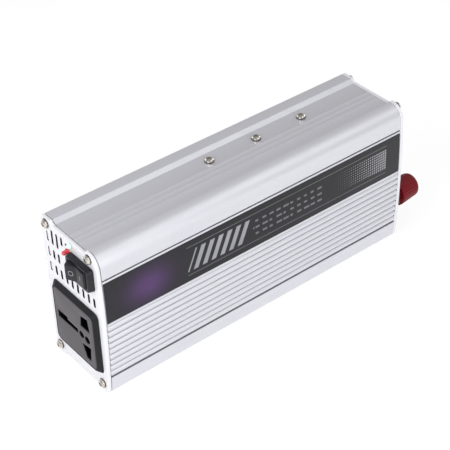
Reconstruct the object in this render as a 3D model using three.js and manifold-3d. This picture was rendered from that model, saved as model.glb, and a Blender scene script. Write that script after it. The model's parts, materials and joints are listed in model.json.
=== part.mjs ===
// A power inverter in a finned aluminium case, standing on its narrow side.
// Millimetres. +X runs along the case from the outlet end to the battery end, -Y is the finned
// front with the label, and +Z is up. The origin is the middle of the whole object's footprint.
import * as THREE from "three";
import { mergeVertices } from "three/addons/utils/BufferGeometryUtils.js";
import Module from "manifold-3d";

const wasm = await Module();
wasm.setup();

// Overall case
const caseLength = 250;
const caseHeight = 111.3;
const backFaceY = 29;
const frontEdgeY = 30.6;
const frontBulge = 1.8;
const topCornerRadius = 10.4;
const bottomCornerRadius = 4;
const backCornerRadius = 1.5;
const wall = 2.4;
const frontWall = 3.6;
const seatGap = 0.3;
const slip = 0.3;
const cutOver = 2;

// Recessed floor of the two narrow sides, between the back rail and the front lip
const recessDepth = 2.4;
const floorZ = caseHeight - recessDepth;
const railFootY = 16.3;
const railSlope = 3;
const lipFlat = 1;
const ribHeight = 0.35;
const ribWidth = 1.6;
const ribSink = 0.2;
const ribPitch = 4.75;
const firstRibY = 1.2;
const ribCount = 3;

// Fins, grooves and label recess of the front
const finPitch = 4.78;
const finDepth = 1.4;
const finSteps = 6;
const lowestGrooveZ = 14.2;
const lineGrooveWidth = 1.1;
const lineGrooveDepth = 2;
const upperLineInset = 18.1;
const labelTopInset = 20.5;
const labelHeight = 30.9;
const labelFinGap = 2.68;
const labelThickness = 0.4;
const labelSteps = 6;
const labelEndGap = 0.4;
const upperLineZ = caseHeight - upperLineInset;
const labelHighZ = caseHeight - labelTopInset;
const labelLowZ = labelHighZ - labelHeight;
const finCount = Math.round((labelLowZ - labelFinGap - lowestGrooveZ) / finPitch);

// Back cover, held in slots of the back rails
const railBlockDepth = 7;
const railBlockStart = 19.3;
const coverThickness = 1.8;
const coverRecess = 1.6;
const coverSlotDepth = 3;
const coverRibHeight = 0.8;
const coverRibWidth = 2.4;
const coverRibCount = 5;

// End plates
const plateThickness = 2.6;
const plateEdgeRound = 0.6;
const screwBackY = 23.4;
const screwHighFrontY = -23.2;
const screwLowFrontY = -25;
const screwTopInset = 3.9;
const screwLowInset = 7;
const bossRadius = 3;
const screwRadius = 1.3;
const plateScrewLength = 12;
const screwHeadRadius = 3;
const screwHeadHeight = 2;
const headRimShare = 0.45;
const headShoulderShare = 0.85;
const crossWidth = 0.9;
const crossLength = 3.4;
const crossDepth = 1.1;

// Vent slots round the switch: each row starts at a column, and its ends are shares of the height
const ventWidth = 2;
const ventRound = 0.9;
const ventStartY = 23.2;
const ventPitch = 5.35;
const lowVentPitch = 5.96;
const ventRows = [
  { column: 0, pitch: lowVentPitch, count: 9, heightShares: [0.628, 0.694] },
  { column: 0, pitch: ventPitch, count: 3, heightShares: [0.737, 0.801] },
  { column: 0, pitch: ventPitch, count: 1, heightShares: [0.844, 0.912] },
  { column: 1, pitch: ventPitch, count: 2, heightShares: [0.841, 0.944] },
  { column: 3, pitch: ventPitch, count: 1, heightShares: [0.89, 0.949] },
  { column: 4, pitch: ventPitch, count: 1, heightShares: [0.916, 0.936] },
];

// Outlet. Its holes are shares of the face's size, from its middle: u runs right and v up, as seen.
const socketY = -2.6;
const socketHeightShare = 0.363;
const socketZ = caseHeight * socketHeightShare;
const socketBase = 50;
const socketProud = 3;
const socketCorner = 4;
const socketBodyDepth = 26;
const socketShell = 1.6;
const insertSize = 43.4;
const insertLedge = 2.3;
const rimWall = 0.8;
const insertCorner = 3;
const insertThickness = 2.5;
const socketRim = insertSize + 2 * (slip + rimWall);
const socketBody = insertSize - 2 * insertLedge + 2 * socketShell;
const earthHoleShares = [[-0.431, 0.088], [-0.431, -0.05], [-0.178, -0.05], [-0.178, 0.088]];
const crossHoleShares = [[-0.189, 0.042], [-0.189, -0.042], [0.087, -0.042], [0.087, 0.042]];
const upperHoleShares = [[0.203, 0.369], [0.171, 0.166], [0.41, 0.166], [0.373, 0.396]];
const lowerHoleShares = [[0.171, -0.171], [0.263, -0.401], [0.369, -0.401], [0.401, -0.138]];
const roundHoleShares = [{ u: 0.177, v: -0.007, radius: 0.06 }, { u: 0.322, v: -0.02, radius: 0.064 }];
const contactThickness = 0.8;
const contactLength = 14;
const contactHeight = 7;
const contactSpread = 7.4;
const contactPinch = 1.4;
const contactHoles = [
  { name: "line", shares: upperHoleShares },
  { name: "neutral", shares: lowerHoleShares },
  { name: "earth", shares: earthHoleShares },
];

// Switch
const switchY = -15;
const switchLampGap = 2.26;
const bezelWidth = 24.8;
const bezelHeight = 17.2;
const bezelProud = 4.1;
const bezelTaper = 0.5;
const bezelCorner = 1.8;
const bezelWall = 1;
const rockerWidth = 19.4;
const rockerHeight = 12.5;
const rockerRadius = rockerWidth / 2 - slip;
const rockerTip = 5.2;
const rockerMiddle = 3.1;
const rockerUnder = 3;
const rockerHalfTravel = 11;
const rockerArcSteps = 3;
const pivotInset = 2.4;
const pivotRadius = 1.2;
const pivotLength = 1.1;
const switchBodyDepth = 16;
const switchChamber = 8;
const switchTabLength = 8;
const switchTabWidth = 4.8;
const switchTabThickness = 0.8;
const switchTabSpacing = 9;

// Indicator lamps: the fault lamp stands beside the switch, the power lamp under the top edge
const lampRadius = 1.5;
const lampFlangeRadius = 2.1;
const lampFlange = 1;
const faultLampProud = 4.3;
const faultLampInside = 9;
const faultLampRise = 6.7;
const powerLampProud = 2.6;
const powerLampInside = 2.8;
const powerLampShift = 11.4;

// Battery terminals
const terminalHeightShare = 0.2516;
const terminalZ = caseHeight * terminalHeightShare;
const redTerminalY = -19;
const blackTerminalY = 17;
const redLook = { color: 0x6e1a20, roughness: 0.35, metalness: 0 };
const blackLook = { color: 0x1c1c1e, roughness: 0.4, metalness: 0 };
const terminals = [
  { name: "red", y: redTerminalY, padHeightShare: 0.3235, look: redLook },
  { name: "black", y: blackTerminalY, padHeightShare: 0.1438, look: blackLook },
];
const collarRadius = 10;
const collarLength = 4.5;
const collarChamfer = 0.8;
const spigotRadius = 5.5;
const spigotLength = 3;
const studRadius = 3;
const studOutside = 20.5;
const studInside = 18;
const studFlangeRadius = 6.5;
const studFlange = 1.4;
const washerRadius = 6.5;
const washerThickness = 1.2;
const knobRadius = 9.1;
const knobLength = 17;
const knobTopRadius = 7.6;
const knobRound = 3;
const knobFlutes = 12;
const fluteRadius = 1.5;
const fluteDepth = 0.7;
const knobBoreDepth = 13;
const nutAcross = 10;
const nutThickness = 5;

// Fan
const fanY = -1;
const fanTopGap = 5.5;
const fanSize = 50;
const fanDepth = 15;
const fanCorner = 3;
const fanBore = 23.4;
const fanHoleSpacing = 40;
const fanScrewLength = 14;
const hubRadius = 12.5;
const hubLength = 10;
const hubWall = 1.2;
const hubEdge = 1;
const bladeCount = 7;
const bladeSink = 0.8;
const bladeTipGap = 0.8;
const bladeThickness = 1.1;
const bladeCamber = 1.2;
const bladeRootChord = 11;
const bladeTipChord = 14;
const bladeRootPitch = 42;
const bladeTipPitch = 26;
const bladeSweep = 16;
const bladeStations = 4;
const motorBase = 2;
const motorClear = 0.6;
const strutWidth = 3;
const strutCount = 4;
const strutSink = 0.5;
const tubeRadius = 3.4;
const tubeLength = 8;
const shaftRadius = 1.5;

// Finger guard cut in the battery end plate
const guardHub = 7.4;
const guardSlot = 3.6;
const guardBar = 1.6;
const guardRings = 3;
const guardSpoke = 3;
const guardSpokes = 4;
const guardSpokeTurn = 45;

// Board
const boardFaceY = 14;
const boardThickness = 1.6;
const boardOutletInset = 25;
const boardBatteryInset = 33;
const boardEdgeInset = 1.2;
const guideDepth = 3;
const guideWidth = 1.2;
const boardSlip = 0.35;

// Power transistors, held to the top wall by a bar and three screws
const clampScrewShares = [-0.0452, 0.1138, 0.2728];
const clampScrewX = clampScrewShares.map((share) => share * caseLength);
const clampScrewY = 8;
const clampScrewLength = 11;
const transistorWidth = 10;
const transistorDepth = 15;
const transistorHeight = 4.5;
const transistorY = 4.5;
const legWidth = 0.8;
const legThickness = 0.5;
const legPitch = 2.5;
const legCount = 3;
const legRise = 0.9;
const barWidth = 10;
const barThickness = 4;
const barOverhang = 9;
const transistorShares = [1 / 3, 2 / 3];

// Transformers
const transformerLengthShares = [-0.27, -0.066];
const transformerHeightShare = 0.34;
const transformerX = transformerLengthShares.map((share) => share * caseLength);
const transformerZ = caseHeight * transformerHeightShare;
const coreSize = 42;
const coreDepth = 16;
const coreLeg = 8;
const coreCentre = 14;
const coilCorner = 2;

// Smaller board parts
const capacitorRadius = 11;
const capacitorLength = 34;
const capacitorEdge = 1.2;
const capacitorGroove = 0.8;
const capacitorGrooveAt = 4;
const capacitorLengthShares = [-0.35, -0.235];
const capacitorHeightShare = 0.72;
const chokeRadius = 11;
const chokeTube = 5;
const chokeLengthShare = 0.13;
const chokeHeightShare = 0.3055;
const fuseWidth = 19;
const fuseHeight = 12;
const fuseThickness = 5;
const fuseShoulder = 3;
const fuseLengthShare = 0.262;
const fuseHeightShares = [0.2156, 0.3414];
const heatsinkRise = 3.4;
const heatsinkLength = 60;
const heatsinkDepth = 22;
const heatsinkBase = 2.4;
const heatsinkFins = 5;
const heatsinkFinPitch = 3.6;
const heatsinkFinThickness = 1.2;
const leadRadius = 2.2;
const leadSides = 8;
const leadSteps = 16;
const leadReach = 14;
const leadRise = 16;
const leadPadLengthShare = 0.328;

// Roundness of turned and filleted shapes
const roundSides = 24;
const knobSides = 36;
const smallSides = 12;
const cornerSteps = 4;
const smallCornerSteps = 2;
const bigCornerSteps = 6;
const edgeSteps = 2;
const frontSteps = 8;
const domeSteps = 3;
const weldDistance = 1e-4;

const caseEnd = caseLength / 2;
const plateInner = caseEnd + seatGap;
const plateOuter = plateInner + plateThickness;
const innerTop = floorZ - wall;
const innerBottom = recessDepth + wall;
const fanZ = innerTop - fanTopGap - fanSize / 2;
const powerLampZ = floorZ - plateEdgeRound - seatGap - lampFlangeRadius;
const switchZ = powerLampZ - lampFlangeRadius - switchLampGap - bezelHeight / 2;

const root = new THREE.Group();

const materials = {
  whiteMetal: { color: 0xd9d9df, roughness: 0.45, metalness: 0.5 },
  plate: { color: 0xf0f0f2, roughness: 0.4, metalness: 0.2 },
  label: { color: 0x4a4a4d, roughness: 0.4, metalness: 0.1 },
  screw: { color: 0xb9b2a6, roughness: 0.3, metalness: 0.9 },
  socketShell: { color: 0x3a3a42, roughness: 0.45, metalness: 0 },
  socketFace: { color: 0x706c72, roughness: 0.55, metalness: 0 },
  blackPlastic: { color: 0x26262b, roughness: 0.4, metalness: 0 },
  brass: { color: 0xb08d4a, roughness: 0.35, metalness: 1 },
  board: { color: 0x1f5a3a, roughness: 0.6, metalness: 0 },
  aluminium: { color: 0xb4b6ba, roughness: 0.4, metalness: 0.9 },
  ferrite: { color: 0x2f2f31, roughness: 0.8, metalness: 0 },
  copper: { color: 0xa5602f, roughness: 0.4, metalness: 0.8 },
  sleeve: { color: 0x20263a, roughness: 0.5, metalness: 0 },
  fuse: { color: 0x2f7a3c, roughness: 0.4, metalness: 0 },
};

const outletWay = new THREE.Vector3(-1, 0, 0);
const batteryWay = new THREE.Vector3(1, 0, 0);
const frontWay = new THREE.Vector3(0, -1, 0);
const upWay = new THREE.Vector3(0, 0, 1);

// A closed geometry as a solid that can be cut and joined.
function solidOf(geometry) {
  const loose = geometry.index ? geometry.toNonIndexed() : geometry;
  const bare = new THREE.BufferGeometry();
  bare.setAttribute("position", loose.getAttribute("position"));
  const merged = mergeVertices(bare, weldDistance);
  const corners = merged.index.array;
  const kept = [];
  for (let i = 0; i < corners.length; i += 3) {
    const [a, b, c] = corners.slice(i, i + 3);
    if (a !== b && b !== c && c !== a) {
      kept.push(a, b, c);
    }
  }
  const triVerts = new Uint32Array(kept);
  const vertProperties = merged.attributes.position.array;
  return new wasm.Manifold(new wasm.Mesh({ numProp: 3, vertProperties, triVerts }));
}

function geometryOf(solid) {
  const mesh = solid.getMesh();
  const stride = mesh.numProp;
  const points = new Float32Array(mesh.numVert * 3);
  for (let i = 0; i < mesh.numVert; i += 1) {
    points.set(mesh.vertProperties.subarray(i * stride, i * stride + 3), i * 3);
  }
  const geometry = new THREE.BufferGeometry();
  geometry.setAttribute("position", new THREE.BufferAttribute(points, 3));
  geometry.setIndex(new THREE.BufferAttribute(mesh.triVerts, 1));
  geometry.computeVertexNormals();
  return geometry;
}

function addPiece(name, solid, look) {
  const mesh = new THREE.Mesh(geometryOf(solid), new THREE.MeshStandardMaterial(look));
  mesh.name = name;
  root.add(mesh);
}

const joinAll = (solids) => solids.reduce((sum, next) => sum.add(next));
const cutAll = (solid, cutters) => cutters.reduce((left, next) => left.subtract(next), solid);
const times = (count, make) => Array.from({ length: count }, (_, i) => make(i));
const degrees = THREE.MathUtils.degToRad;

// Turns drawn (across, up, out) into the case's Y, Z and X.
const alongX = new THREE.Matrix4().makeBasis(
  new THREE.Vector3(0, 1, 0), new THREE.Vector3(0, 0, 1), new THREE.Vector3(1, 0, 0));
// Turns drawn (right, up, out) into the case's X, Z and -Y.
const towardFront = new THREE.Matrix4().makeBasis(
  new THREE.Vector3(1, 0, 0), new THREE.Vector3(0, 0, 1), new THREE.Vector3(0, -1, 0));

// A prism of a (y, z) outline from x = from to x = to, with an optional rounded edge.
function prismX(outline, from, to, round = 0) {
  const geometry = new THREE.ExtrudeGeometry(new THREE.Shape(outline), {
    depth: to - from - 2 * round,
    bevelEnabled: round > 0,
    bevelThickness: round,
    bevelSize: round,
    bevelOffset: -round,
    bevelSegments: edgeSteps,
  });
  geometry.translate(0, 0, from + round);
  return solidOf(geometry.applyMatrix4(alongX));
}

// A prism of an (x, z) outline from y = backY towards the front over a depth.
function prismFront(outline, backY, depth) {
  const geometry = new THREE.ExtrudeGeometry(new THREE.Shape(outline), { depth, bevelEnabled: false });
  geometry.translate(0, 0, -backY);
  return solidOf(geometry.applyMatrix4(towardFront));
}

// A prism of an (x, y) outline from z = from to z = to.
function prismZ(outline, from, to) {
  const shape = new THREE.Shape(outline);
  const geometry = new THREE.ExtrudeGeometry(shape, { depth: to - from, bevelEnabled: false });
  return solidOf(geometry.translate(0, 0, from));
}

function arcPoints(centreA, centreB, radius, fromDegrees, toDegrees, steps) {
  return times(steps + 1, (i) => {
    const angle = degrees(fromDegrees + ((toDegrees - fromDegrees) * i) / steps);
    return new THREE.Vector2(centreA + radius * Math.cos(angle), centreB + radius * Math.sin(angle));
  });
}

function rectangle(centreA, centreB, width, height) {
  const points = [[-1, -1], [1, -1], [1, 1], [-1, 1]];
  return points.map(([a, b]) => new THREE.Vector2(centreA + (a * width) / 2, centreB + (b * height) / 2));
}

function roundedRectangle(centreA, centreB, width, height, corner, steps = cornerSteps) {
  const a = width / 2 - corner;
  const b = height / 2 - corner;
  return [
    ...arcPoints(centreA + a, centreB + b, corner, 0, 90, steps),
    ...arcPoints(centreA - a, centreB + b, corner, 90, 180, steps),
    ...arcPoints(centreA - a, centreB - b, corner, 180, 270, steps),
    ...arcPoints(centreA + a, centreB - b, corner, 270, 360, steps),
  ];
}

function circle(centreA, centreB, radius, sides = smallSides) {
  return arcPoints(centreA, centreB, radius, 0, 360, sides).slice(0, sides);
}

// Stands a geometry made along +Y on a place, pointing in a direction.
function standing(geometry, place, way) {
  const turn = new THREE.Quaternion().setFromUnitVectors(new THREE.Vector3(0, 1, 0), way);
  geometry.applyQuaternion(turn);
  return solidOf(geometry.translate(place.x, place.y, place.z));
}

// A turned solid from (radius, distance) points, which start and end on its axis.
function turned(profile, place, way, sides = roundSides) {
  const points = profile.map(([radius, along]) => new THREE.Vector2(radius, along));
  return standing(new THREE.LatheGeometry(points, sides), place, way);
}

// A plain round bar between two distances along its axis.
function bar(radius, from, to, place, way, sides = smallSides) {
  return turned([[0, from], [radius, from], [radius, to], [0, to]], place, way, sides);
}

// A closed skin through equal loops of points, with flat ends.
function loft(loops) {
  const count = loops[0].length;
  const points = loops.flat().flatMap((p) => [p.x, p.y, p.z]);
  const index = [];
  for (let ring = 0; ring + 1 < loops.length; ring += 1) {
    for (let i = 0; i < count; i += 1) {
      const next = (i + 1) % count;
      const low = ring * count;
      const high = low + count;
      index.push(low + i, low + next, high + next, low + i, high + next, high + i);
    }
  }
  const last = (loops.length - 1) * count;
  for (let i = 1; i + 1 < count; i += 1) {
    index.push(0, i + 1, i, last, last + i, last + i + 1);
  }
  const geometry = new THREE.BufferGeometry();
  geometry.setAttribute("position", new THREE.Float32BufferAttribute(points, 3));
  geometry.setIndex(index);
  return solidOf(geometry);
}

// Loft of (y, z) outlines, each at its own distance along X.
function loftX(outlines) {
  const sections = [...outlines].sort((a, b) => a.x - b.x);
  return loft(sections.map(({ x, outline }) => outline.map((p) => new THREE.Vector3(x, p.x, p.y))));
}

// A pan head screw with a cross recess. The place is under its head, and the way points out.
function screw(place, way, length) {
  const head = [
    [screwHeadRadius, 0],
    [screwHeadRadius, screwHeadHeight * headRimShare],
    [screwHeadRadius * headShoulderShare, screwHeadHeight * headShoulderShare],
    [screwHeadRadius * headRimShare, screwHeadHeight],
  ];
  const solid = turned([
    [0, -length], [screwRadius, -length], [screwRadius, 0], ...head, [0, screwHeadHeight],
  ], place, way, smallSides);
  const cross = [[crossWidth, crossLength], [crossLength, crossWidth]].map(([width, depth]) => {
    const box = new THREE.BoxGeometry(width, 2 * crossDepth, depth);
    return standing(box.translate(0, screwHeadHeight, 0), place, way);
  });
  return cutAll(solid, cross);
}

// Depth of the crowned front face at a height.
function frontY(z) {
  const across = (z - caseHeight / 2) / (caseHeight / 2 - bottomCornerRadius);
  return -frontEdgeY - frontBulge * (1 - across * across);
}

// Points down the front face between two heights, pushed in by an inset.
function frontRun(highZ, lowZ, steps, inset = 0) {
  return times(steps + 1, (i) => {
    const z = highZ + ((lowZ - highZ) * i) / steps;
    return new THREE.Vector2(frontY(z) + inset, z);
  });
}

// Outline of the case and of both end plates: rails at the back, lips at the front, and a
// recessed floor between them on both narrow sides.
function caseOutline() {
  const cornerZ = caseHeight - topCornerRadius;
  const cornerY = frontY(cornerZ) + topCornerRadius;
  const lipEdgeY = cornerY + lipFlat;
  const lowCornerY = frontY(bottomCornerRadius) + bottomCornerRadius;
  const railTopY = railFootY + railSlope;
  const backCornerY = backFaceY - backCornerRadius;
  return [
    ...arcPoints(backCornerY, caseHeight - backCornerRadius, backCornerRadius, 0, 90, smallCornerSteps),
    new THREE.Vector2(railTopY, caseHeight),
    new THREE.Vector2(railFootY, floorZ),
    new THREE.Vector2(lipEdgeY, floorZ),
    new THREE.Vector2(lipEdgeY, caseHeight),
    ...arcPoints(cornerY, cornerZ, topCornerRadius, 90, 180, bigCornerSteps),
    ...frontRun(cornerZ, bottomCornerRadius, frontSteps).slice(1, frontSteps),
    ...arcPoints(lowCornerY, bottomCornerRadius, bottomCornerRadius, 180, 270, cornerSteps),
    new THREE.Vector2(lipEdgeY, 0),
    new THREE.Vector2(lipEdgeY, recessDepth),
    new THREE.Vector2(railFootY, recessDepth),
    new THREE.Vector2(railTopY, 0),
    ...arcPoints(backCornerY, backCornerRadius, backCornerRadius, 270, 360, smallCornerSteps),
  ];
}

const screwPlaces = [
  { y: screwBackY, z: caseHeight - screwTopInset },
  { y: screwHighFrontY, z: caseHeight - screwTopInset },
  { y: screwLowFrontY, z: screwLowInset },
  { y: screwBackY, z: screwLowInset },
];

const lamps = [
  {
    name: "fault_lamp",
    y: switchY + bezelWidth / 2 + seatGap + lampFlangeRadius,
    z: switchZ + faultLampRise,
    proud: faultLampProud,
    inside: faultLampInside,
    look: { color: 0xc0303a, roughness: 0.25, metalness: 0 },
  },
  {
    name: "power_lamp",
    y: switchY + powerLampShift,
    z: powerLampZ,
    proud: powerLampProud,
    inside: powerLampInside,
    look: { color: 0xcfe6da, roughness: 0.25, metalness: 0 },
  },
];

// What is cut away between the rounded fins: each fin is half an ellipse between two valleys.
function finCut(end) {
  const crest = times(finCount * finSteps + 1, (i) => {
    const turn = (Math.PI * (i % finSteps)) / finSteps;
    const valley = lowestGrooveZ + finPitch * Math.floor(i / finSteps);
    const z = valley + (finPitch * (1 - Math.cos(turn))) / 2;
    return new THREE.Vector2(frontY(z) + finDepth * (1 - Math.sin(turn)), z);
  });
  const topZ = crest[crest.length - 1].y;
  const outside = -frontEdgeY - frontBulge - cutOver;
  return prismX([
    ...crest,
    new THREE.Vector2(frontY(topZ), topZ + lineGrooveWidth / 2),
    new THREE.Vector2(outside, topZ + lineGrooveWidth / 2),
    new THREE.Vector2(outside, lowestGrooveZ),
  ], -end, end);
}

function lineGroove(z, end) {
  const middle = frontY(z) + (lineGrooveDepth - cutOver) / 2;
  return prismX(rectangle(middle, z, lineGrooveDepth + cutOver, lineGrooveWidth), -end, end);
}

// The strip between two insets of the front face over the label's height.
function labelStrip(outer, inner, end, margin) {
  const high = labelHighZ + margin;
  const low = labelLowZ - margin;
  const outside = frontRun(high, low, labelSteps, outer);
  const inside = frontRun(high, low, labelSteps, inner);
  return prismX([...outside, ...inside.reverse()], -end, end);
}

// The space inside the case, open at the back between the rails.
function caseHollow(end) {
  const corner = topCornerRadius - frontWall;
  const cornerZ = innerTop - corner;
  const cornerY = frontY(cornerZ) + frontWall + corner;
  return prismX([
    new THREE.Vector2(backFaceY + cutOver, caseHeight - railBlockDepth),
    new THREE.Vector2(railBlockStart, caseHeight - railBlockDepth),
    new THREE.Vector2(railBlockStart, innerTop),
    ...arcPoints(cornerY, cornerZ, corner, 90, 180, cornerSteps),
    ...frontRun(cornerZ, innerBottom, frontSteps / 2, frontWall).slice(1),
    new THREE.Vector2(railBlockStart, innerBottom),
    new THREE.Vector2(railBlockStart, railBlockDepth),
    new THREE.Vector2(backFaceY + cutOver, railBlockDepth),
  ], -end, end);
}

// Pairs of guides on the inner walls that hold the board's two long edges.
function boardGuides() {
  const back = boardFaceY + boardThickness + boardSlip + guideWidth / 2;
  const front = boardFaceY - boardSlip - guideWidth / 2;
  const height = guideDepth + ribSink;
  return [back, front].flatMap((y) => [
    prismX(rectangle(y, innerTop - guideDepth + height / 2, guideWidth, height), -caseEnd, caseEnd),
    prismX(rectangle(y, innerBottom + guideDepth - height / 2, guideWidth, height), -caseEnd, caseEnd),
  ]);
}

// Fine raised lines along the recessed floor of the top side.
function floorRibs() {
  return times(ribCount, (i) => {
    const middle = firstRibY - i * ribPitch;
    return prismX([
      new THREE.Vector2(middle + ribWidth / 2, floorZ - ribSink),
      new THREE.Vector2(middle, floorZ + ribHeight),
      new THREE.Vector2(middle - ribWidth / 2, floorZ - ribSink),
    ], -caseEnd, caseEnd);
  });
}

function mainHousing() {
  const end = caseEnd + cutOver;
  const slotY = backFaceY - coverRecess - coverThickness / 2;
  const slotHeight = caseHeight - 2 * (railBlockDepth - coverSlotDepth);
  const slotWidth = coverThickness + 2 * slip;
  const coverSlot = prismX(rectangle(slotY, caseHeight / 2, slotWidth, slotHeight), -end, end);
  const bosses = screwPlaces.map(({ y, z }) => prismX(circle(y, z, bossRadius), -caseEnd, caseEnd));
  const holes = screwPlaces.map(({ y, z }) => prismX(circle(y, z, screwRadius + slip), -end, end));
  const clampHoles = clampScrewX.map((x) => {
    const outline = circle(x, clampScrewY, screwRadius + slip);
    return prismZ(outline, innerTop - cutOver, floorZ + cutOver);
  });
  const hollow = prismX(caseOutline(), -caseEnd, caseEnd).subtract(caseHollow(end));
  const joined = joinAll([hollow, ...bosses, ...boardGuides(), ...floorRibs()]);
  return cutAll(joined, [
    coverSlot,
    finCut(end),
    lineGroove(lowestGrooveZ, end),
    lineGroove(upperLineZ, end),
    labelStrip(-cutOver, labelThickness + slip, end, slip),
    ...holes,
    ...clampHoles,
  ]);
}

// A sheet that slides between the back rails, with low stiffening ribs along it.
function backCover() {
  const height = caseHeight - 2 * (railBlockDepth - coverSlotDepth + slip);
  const backY = backFaceY - coverRecess;
  const sheet = prismX(
    rectangle(backY - coverThickness / 2, caseHeight / 2, coverThickness, height), -caseEnd, caseEnd);
  const spacing = (caseHeight - 2 * railBlockDepth) / (coverRibCount + 1);
  const ribs = times(coverRibCount, (i) => {
    const z = railBlockDepth + (i + 1) * spacing;
    return prismX([
      new THREE.Vector2(backY - ribSink, z - coverRibWidth / 2),
      new THREE.Vector2(backY + coverRibHeight, z),
      new THREE.Vector2(backY - ribSink, z + coverRibWidth / 2),
    ], -caseEnd, caseEnd);
  });
  return joinAll([sheet, ...ribs]);
}

// An end plate with its four screw holes, before its own openings are cut.
function blankPlate(side) {
  const from = side < 0 ? -plateOuter : plateInner;
  const blank = prismX(caseOutline(), from, from + plateThickness, plateEdgeRound);
  const holes = screwPlaces.map(({ y, z }) => throughPlate(circle(y, z, screwRadius + slip), side));
  return cutAll(blank, holes);
}

// A cutter that goes through the end plate of one side.
function throughPlate(outline, side) {
  const middle = side * (plateInner + plateOuter) / 2;
  const half = plateThickness / 2 + cutOver;
  return prismX(outline, middle - half, middle + half);
}

function ventSlots() {
  return ventRows.flatMap(({ column, pitch, count, heightShares }) => times(count, (i) => {
    const [low, high] = heightShares.map((share) => share * caseHeight);
    const middle = ventStartY - (column + i) * pitch;
    const centre = (low + high) / 2;
    return throughPlate(
      roundedRectangle(middle, centre, ventWidth, high - low, ventRound, smallCornerSteps), -1);
  }));
}

function outletPlate() {
  const socketHole = socketBody + 2 * slip;
  const bodyWidth = rockerWidth + 2 * (bezelWall + slip);
  const bodyHeight = rockerHeight + 2 * (bezelWall + slip);
  return cutAll(blankPlate(-1), [
    throughPlate(rectangle(socketY, socketZ, socketHole, socketHole), -1),
    throughPlate(rectangle(switchY, switchZ, bodyWidth, bodyHeight), -1),
    ...lamps.map(({ y, z }) => throughPlate(circle(y, z, lampRadius + slip), -1)),
    ...ventSlots(),
  ]);
}

// Ring slots of the finger guard, with the spokes left standing.
function guardCuts() {
  const spokes = times(guardSpokes / 2, (i) => {
    const turn = degrees(guardSpokeTurn + (i * 360) / guardSpokes);
    const spoke = rectangle(0, 0, 2 * fanBore, guardSpoke);
    const swung = spoke.map((p) => p.rotateAround(new THREE.Vector2(), turn));
    return throughPlate(swung.map((p) => new THREE.Vector2(p.x + fanY, p.y + fanZ)), 1);
  });
  const rings = times(guardRings, (i) => {
    const inner = guardHub + i * (guardSlot + guardBar);
    const outer = throughPlate(circle(fanY, fanZ, inner + guardSlot, roundSides), 1);
    return outer.subtract(throughPlate(circle(fanY, fanZ, inner, roundSides), 1));
  });
  return rings.map((ring) => cutAll(ring, spokes));
}

const fanHoles = [[-1, -1], [1, -1], [1, 1], [-1, 1]].map(([a, b]) => (
  { y: fanY + (a * fanHoleSpacing) / 2, z: fanZ + (b * fanHoleSpacing) / 2 }));

function batteryPlate() {
  return cutAll(blankPlate(1), [
    ...guardCuts(),
    ...fanHoles.map(({ y, z }) => throughPlate(circle(y, z, screwRadius + slip), 1)),
    ...terminals.map(({ y }) => throughPlate(circle(y, terminalZ, spigotRadius + slip, roundSides), 1)),
  ]);
}

function addPlateScrews() {
  screwPlaces.forEach(({ y, z }, i) => {
    const x = plateOuter + seatGap;
    const outlet = screw(new THREE.Vector3(-x, y, z), outletWay, plateScrewLength);
    const battery = screw(new THREE.Vector3(x, y, z), batteryWay, plateScrewLength);
    addPiece(`ac_plate_screw_${i + 1}`, outlet, materials.screw);
    addPiece(`dc_plate_screw_${i + 1}`, battery, materials.screw);
  });
}

// Bezel and rear shell of the outlet, hollow from the face.
function socketHousing() {
  const back = -plateOuter - seatGap;
  const front = back - socketProud;
  const square = (size, corner) => roundedRectangle(socketY, socketZ, size, size, corner);
  const bezel = loftX([
    { x: front, outline: square(socketRim, socketCorner) },
    { x: back, outline: square(socketBase, socketCorner) },
  ]);
  const body = prismX(square(socketBody, socketCorner), back - ribSink, back + socketBodyDepth);
  const seat = square(insertSize + 2 * slip, insertCorner);
  const inside = square(socketBody - 2 * socketShell, insertCorner);
  const pocket = prismX(seat, front - cutOver, front + insertThickness + slip);
  const hollow = prismX(inside, front - cutOver, back + socketBodyDepth - socketShell);
  return cutAll(bezel.add(body), [pocket, hollow]);
}

// Turns a place on the outlet's face, as seen, into the case's (y, z).
const facePoint = (u, v) => new THREE.Vector2(socketY - u * insertSize, socketZ + v * insertSize);
const holeOutline = (shares) => shares.map(([u, v]) => facePoint(u, v)).reverse();

function socketFace() {
  const front = -plateOuter - seatGap - socketProud;
  const cut = (outline) => prismX(outline, front - cutOver, front + insertThickness + cutOver);
  const straightHoles = [earthHoleShares, crossHoleShares, upperHoleShares, lowerHoleShares];
  const pinHoles = roundHoleShares.map(({ u, v, radius }) => {
    const middle = facePoint(u, v);
    return cut(circle(middle.x, middle.y, radius * insertSize, smallSides));
  });
  const plate = prismX(
    roundedRectangle(socketY, socketZ, insertSize, insertSize, insertCorner), front, front + insertThickness);
  return cutAll(plate, [...straightHoles.map((shares) => cut(holeOutline(shares))), ...pinHoles]);
}

// A spring contact: two leaves that lean towards each other, on a base at the outlet's rear wall.
function socketContact(shares) {
  const corners = holeOutline(shares);
  const middle = corners.reduce((sum, p) => sum.add(p), new THREE.Vector2()).divideScalar(corners.length);
  const rear = -plateOuter - seatGap + socketBodyDepth - socketShell - slip;
  const front = rear - contactLength;
  const wide = contactSpread / 2;
  const narrow = wide - contactPinch;
  const outline = [
    [rear, -wide], [rear, wide], [front, narrow], [front, narrow - contactThickness],
    [rear - contactThickness, wide - contactThickness],
    [rear - contactThickness, contactThickness - wide],
    [front, contactThickness - narrow], [front, -narrow],
  ].map(([x, y]) => new THREE.Vector2(x, middle.x + y));
  return prismZ(outline, middle.y - contactHeight / 2, middle.y + contactHeight / 2);
}

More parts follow.
